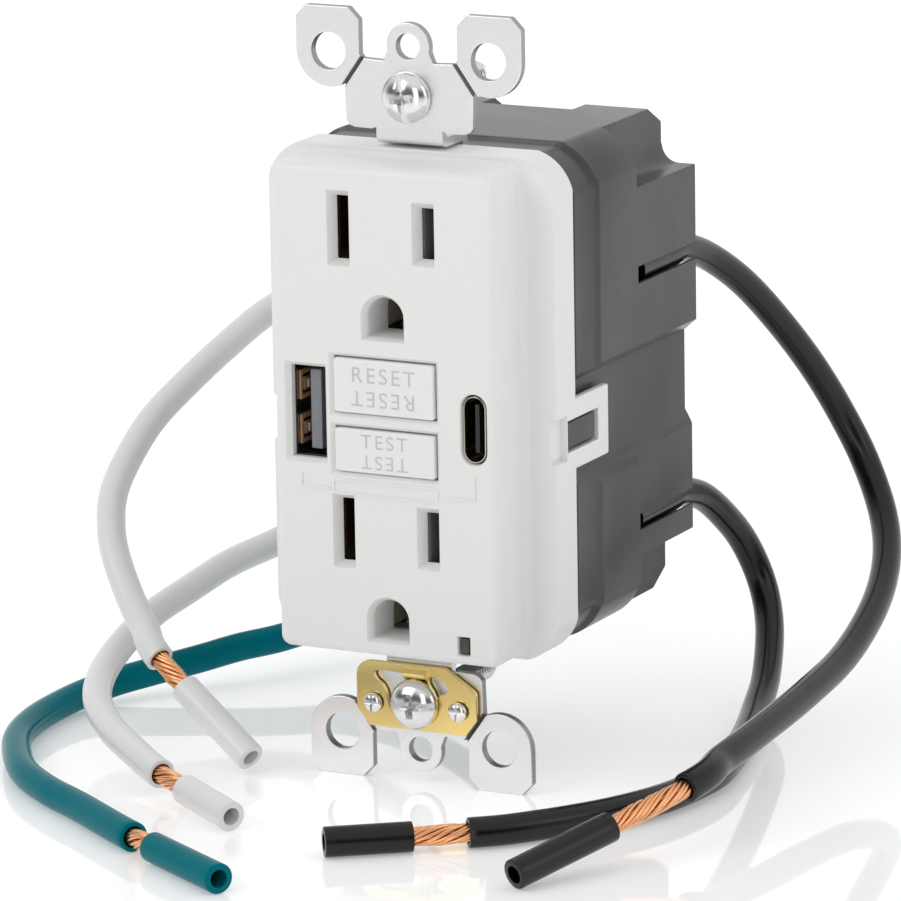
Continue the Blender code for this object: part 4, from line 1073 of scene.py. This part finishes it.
def make_usb_a():
    """Steel shell with two contact springs in its side, and a tongue with four contacts."""
    x, z = USB_A
    front = FACE_Y + WALL + 0.3
    shell = box("usb_a_can", (x - 2.85, front, z - 6.55), (x + 2.85, 6.1, z + 6.55), 0.3)
    cut(shell, box("bore", (x - 2.5, front - 1, z - 6.2), (x + 2.5, 5.7, z + 6.2), 0.2, 2))
    make_usb_a_springs(x, z)
    finish(shell, "usb_steel", "usb_a_shell", slot="usb_shell")
    tongue = box("usb_a_insert", (x - 0.65, front + 0.4, z - 5.5), (x + 1.05, 5.3, z + 5.5), 0.2)
    join(tongue, box("base", (x - 2.2, 1.0, z - 5.9), (x + 2.15, 5.35, z + 5.9), 0.1, 2))
    grooves, pads = [], []
    for middle in [z + dz for dz in USB_A_CONTACTS]:
        low, high = (x - 1.0, front + 1.0, middle - 0.62), (x - 0.5, 1.2, middle + 0.62)
        grooves.append(box("groove", low, high))
        low, high = (x - 0.62, front + 1.2, middle - 0.5), (x - 0.35, 0.95, middle + 0.5)
        pads.append(box("usb_a_contacts", low, high, 0.08, 2))
    cut(tongue, *grooves)
    finish(tongue, "usb_tongue", "usb_a_tongue", slot="black_parts")
    finish(merge(*pads), "brass", slot="contact_brass")


def make_usb_c():
    """Round-ended steel shell with its thin tongue and a dark throat."""
    x, z = USB_C
    outline = rounded_rect(1.63, 4.5, 1.62, 10, x, z)
    shell = prism("usb_c_can", outline, FACE_Y + 0.3, -1.2, bevel=0.07, segments=2)
    bore = rounded_rect(1.4, 4.27, 1.39, 10, x, z)
    mouth = rounded_rect(1.52, 4.39, 1.51, 10, x, z)
    cut(shell, stack("bore", [
        (FACE_Y - 0.2, mouth), (FACE_Y + 0.3, mouth), (FACE_Y + 0.5, bore), (0, bore),
    ]))
    finish(shell, "usb_ring", "usb_c_shell", slot="usb_shell")
    tongue = box("usb_c_insert", (x - 0.35, -9.0, z - 3.3), (x + 0.35, 6.2, z + 3.3), 0.12)
    join(tongue, box("base", (x - 1.3, -2.2, z - 4.1), (x + 1.3, -0.95, z + 4.1), 0.1, 2))
    join(
        tongue,
        box("foot", (x - 1.6, -0.9, z - 5.0), (x + 1.6, 6.15, z + 5.0), 0.15, 2),
        box("link", (x - 1.0, -1.1, z - 3.0), (x + 1.0, -0.7, z + 3.0)),
    )
    finish(tongue, "black_plastic", "usb_c_tongue", slot="black_parts")


def make_light():
    """Smoked pipe of the status light, with a lens end in the window."""
    x, z = LIGHT
    pipe = box("light_lens", (x - 0.65, FACE_Y + 0.3, z - 1.05), (x + 0.65, 23.0, z + 1.05), 0.2)
    finish(pipe, "smoked_clear", "status_light_pipe", slot="light_lens")


# --- Springs
def make_spring(name, axis, centre, radius, wire, low, high, turns, joint, stroke):
    """A compression spring with closed ends. Its joint and stroke are not used."""
    steps = 20
    ends = wire * 1.05
    points = []
    for i in range((turns + 2) * steps + 1):
        turn = i / steps
        share = min(max((turn - 1) / turns, 0.0), 1.0)
        along = low + ends + (high - low - 2 * ends) * share
        angle = 2 * math.pi * turn
        points.append(Vector(centre) + Vector({
            "Y": (radius * math.cos(angle), along, radius * math.sin(angle)),
            "Z": (radius * math.cos(angle), radius * math.sin(angle), along),
        }[axis]))
    line = Line(points)
    bm = bmesh.new()
    sweep(bm, line, [(d, wire) for d in spaced(0, line.lengths[-1], 0.8)], 8)
    spring = to_object(f"{name}_coil", bm)
    finish(spring, "bright_steel", name, slot="bright_steel")
    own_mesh(spring)


# --- Inner pieces that stay as the CAD has them
KEPT = {
    "inner_plastic": ("middle_frame", "contact_carrier"),
    "zinc_steel": ("latch_plate", "solenoid_yoke"),
    "brass": (
        "hot_moving_contact", "neutral_moving_contact", "hot_line_terminal", "neutral_line_terminal",
    ),
    "dull_steel": ("hot_contact_strip",),
    # brass darkened with painted shade of the blade slots it is seen through
    "brass_painted_shade": ("neutral_contact_strip",),
    "pale_brass": ("upper_ground_contact", "lower_ground_contact"),
    "bright_steel": ("reset_pin", "solenoid_plunger"),
    "black_plastic": ("solenoid_bobbin", "bulk_capacitor", "control_chip"),
    "winding": ("solenoid_winding", "sensing_coil"),
    "varistor": ("surge_varistor",),
    "ferrite": ("grounded_neutral_coil", "flyback_transformer"),
    "circuit_green": ("fault_sensing_board", "usb_board"),
    "smoked_clear": ("status_light",),
}


def dress_kept_nodes():
    """Gives the inner CAD pieces their procedural materials."""
    for mat, names in KEPT.items():
        for name in names:
            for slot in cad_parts[name].material_slots:
                slot.material = MATS[mat]


# --- Stage
FRONT_LEVEL, BACK_LEVEL, TOP_LEVEL = 0.10, 1.0, 0.85  # how bright the surroundings are
LAMPS = (  # name, place in metres, size in metres, power in watts
    ("key", (-0.75, -1.15, 0.75), (0.9, 0.9), 5.4),
    ("fill", (0.55, -1.35, 0.35), (0.5, 0.8), 1.9),
    ("side", (1.3, -0.1, 0.55), (0.4, 0.9), 1.0),
)


def make_floor():
    """Wide glossy white floor that the object stands on."""
    bm = bmesh.new()
    bmesh.ops.create_grid(bm, x_segments=2, y_segments=2, size=20)
    floor = to_object("floor", bm, scale=1.0)
    floor.location.z = FLOOR_Z * MM
    mat = bpy.data.materials.new("floor_white")
    mat.use_nodes = True
    connect(mat.node_tree, mat.node_tree.nodes["Principled BSDF"], {
        "Base Color": (0.82, 0.82, 0.82, 1), "Roughness": 0.04, "IOR": 1.4,
        "Emission Color": (1, 1, 1, 1), "Emission Strength": 0.27,
    })
    floor.data.materials.append(mat)


def make_lamp(name, spot, size, power):
    """A rectangular area light aimed at the middle of the object."""
    data = bpy.data.lights.new(name, "AREA")
    data.shape = "RECTANGLE"
    data.size, data.size_y = size
    data.energy = power
    lamp = add_object(name, data)
    lamp.location = spot
    lamp.visible_camera = False
    lamp.rotation_euler = (Vector((0, 0, -0.01)) - Vector(spot)).to_track_quat("-Z", "Y").to_euler()


def make_world():
    """Studio surroundings: brightest behind the object, a little less overhead, and dark in front."""
    world = bpy.data.worlds.new("studio")
    world.use_nodes = True
    tree = world.node_tree
    direction = add_node(tree, "ShaderNodeTexCoord", "Generated", {})
    split = tree.nodes.new("ShaderNodeSeparateXYZ")
    connect(tree, split, {"Vector": direction})

    def ramp(axis, start, end, low, high):
        """A smooth rise from low to high while the direction along an axis goes from start to end."""
        return add_node(tree, "ShaderNodeMapRange", "Result", {
            "Value": split.outputs[axis], "From Min": start, "From Max": end,
            "To Min": low, "To Max": high,
        }, interpolation_type="SMOOTHSTEP")

    level = add_node(tree, "ShaderNodeMix", "Result", {
        "Factor": ramp("Z", 0.22, 0.65, 0.0, 1.0), "A": ramp("Y", -0.6, 0.3, FRONT_LEVEL, BACK_LEVEL),
        "B": TOP_LEVEL,
    })
    connect(tree, tree.nodes["Background"], {"Strength": level, "Color": (1, 1, 1, 1)})
    bpy.context.scene.world = world


make_cover()
make_button("reset", RESET_Z, 3.7, "reset", 0, "RESET", 3.05, 1.5)
make_button("test", TEST_Z, 2.95, "test", 5.9, "TEST", 2.75, 1.3)
make_housing()
make_strap()
make_ground_plate()
make_rivets()
make_screw("upper", 1, -STRAP_THICK - 0.3, 98)
make_screw("lower", -1, -STRAP_THICK - 1.3, 4)
make_retainer("upper", 1)
make_retainer("lower", -1)
make_usb_a()
make_usb_c()
make_light()
make_spring("reset_spring", "Y", (0, 0, RESET_Z), 2.75, 0.3, *BUTTON_SPRING, 5, "reset_push", 1.6)
make_spring("test_spring", "Y", (0, 0, TEST_Z), 1.9, 0.3, *BUTTON_SPRING, 5, "test_push", 1.2)
make_spring("plunger_spring", "Z", (0, 18.4, 0), 2.15, 0.2, -11.0, -9.0, 2, "latch_trip", 1.5)
dress_kept_nodes()
make_floor()
make_world()
for lamp_row in LAMPS:
    make_lamp(*lamp_row)
bpy.context.scene.view_settings.view_transform = "Standard"
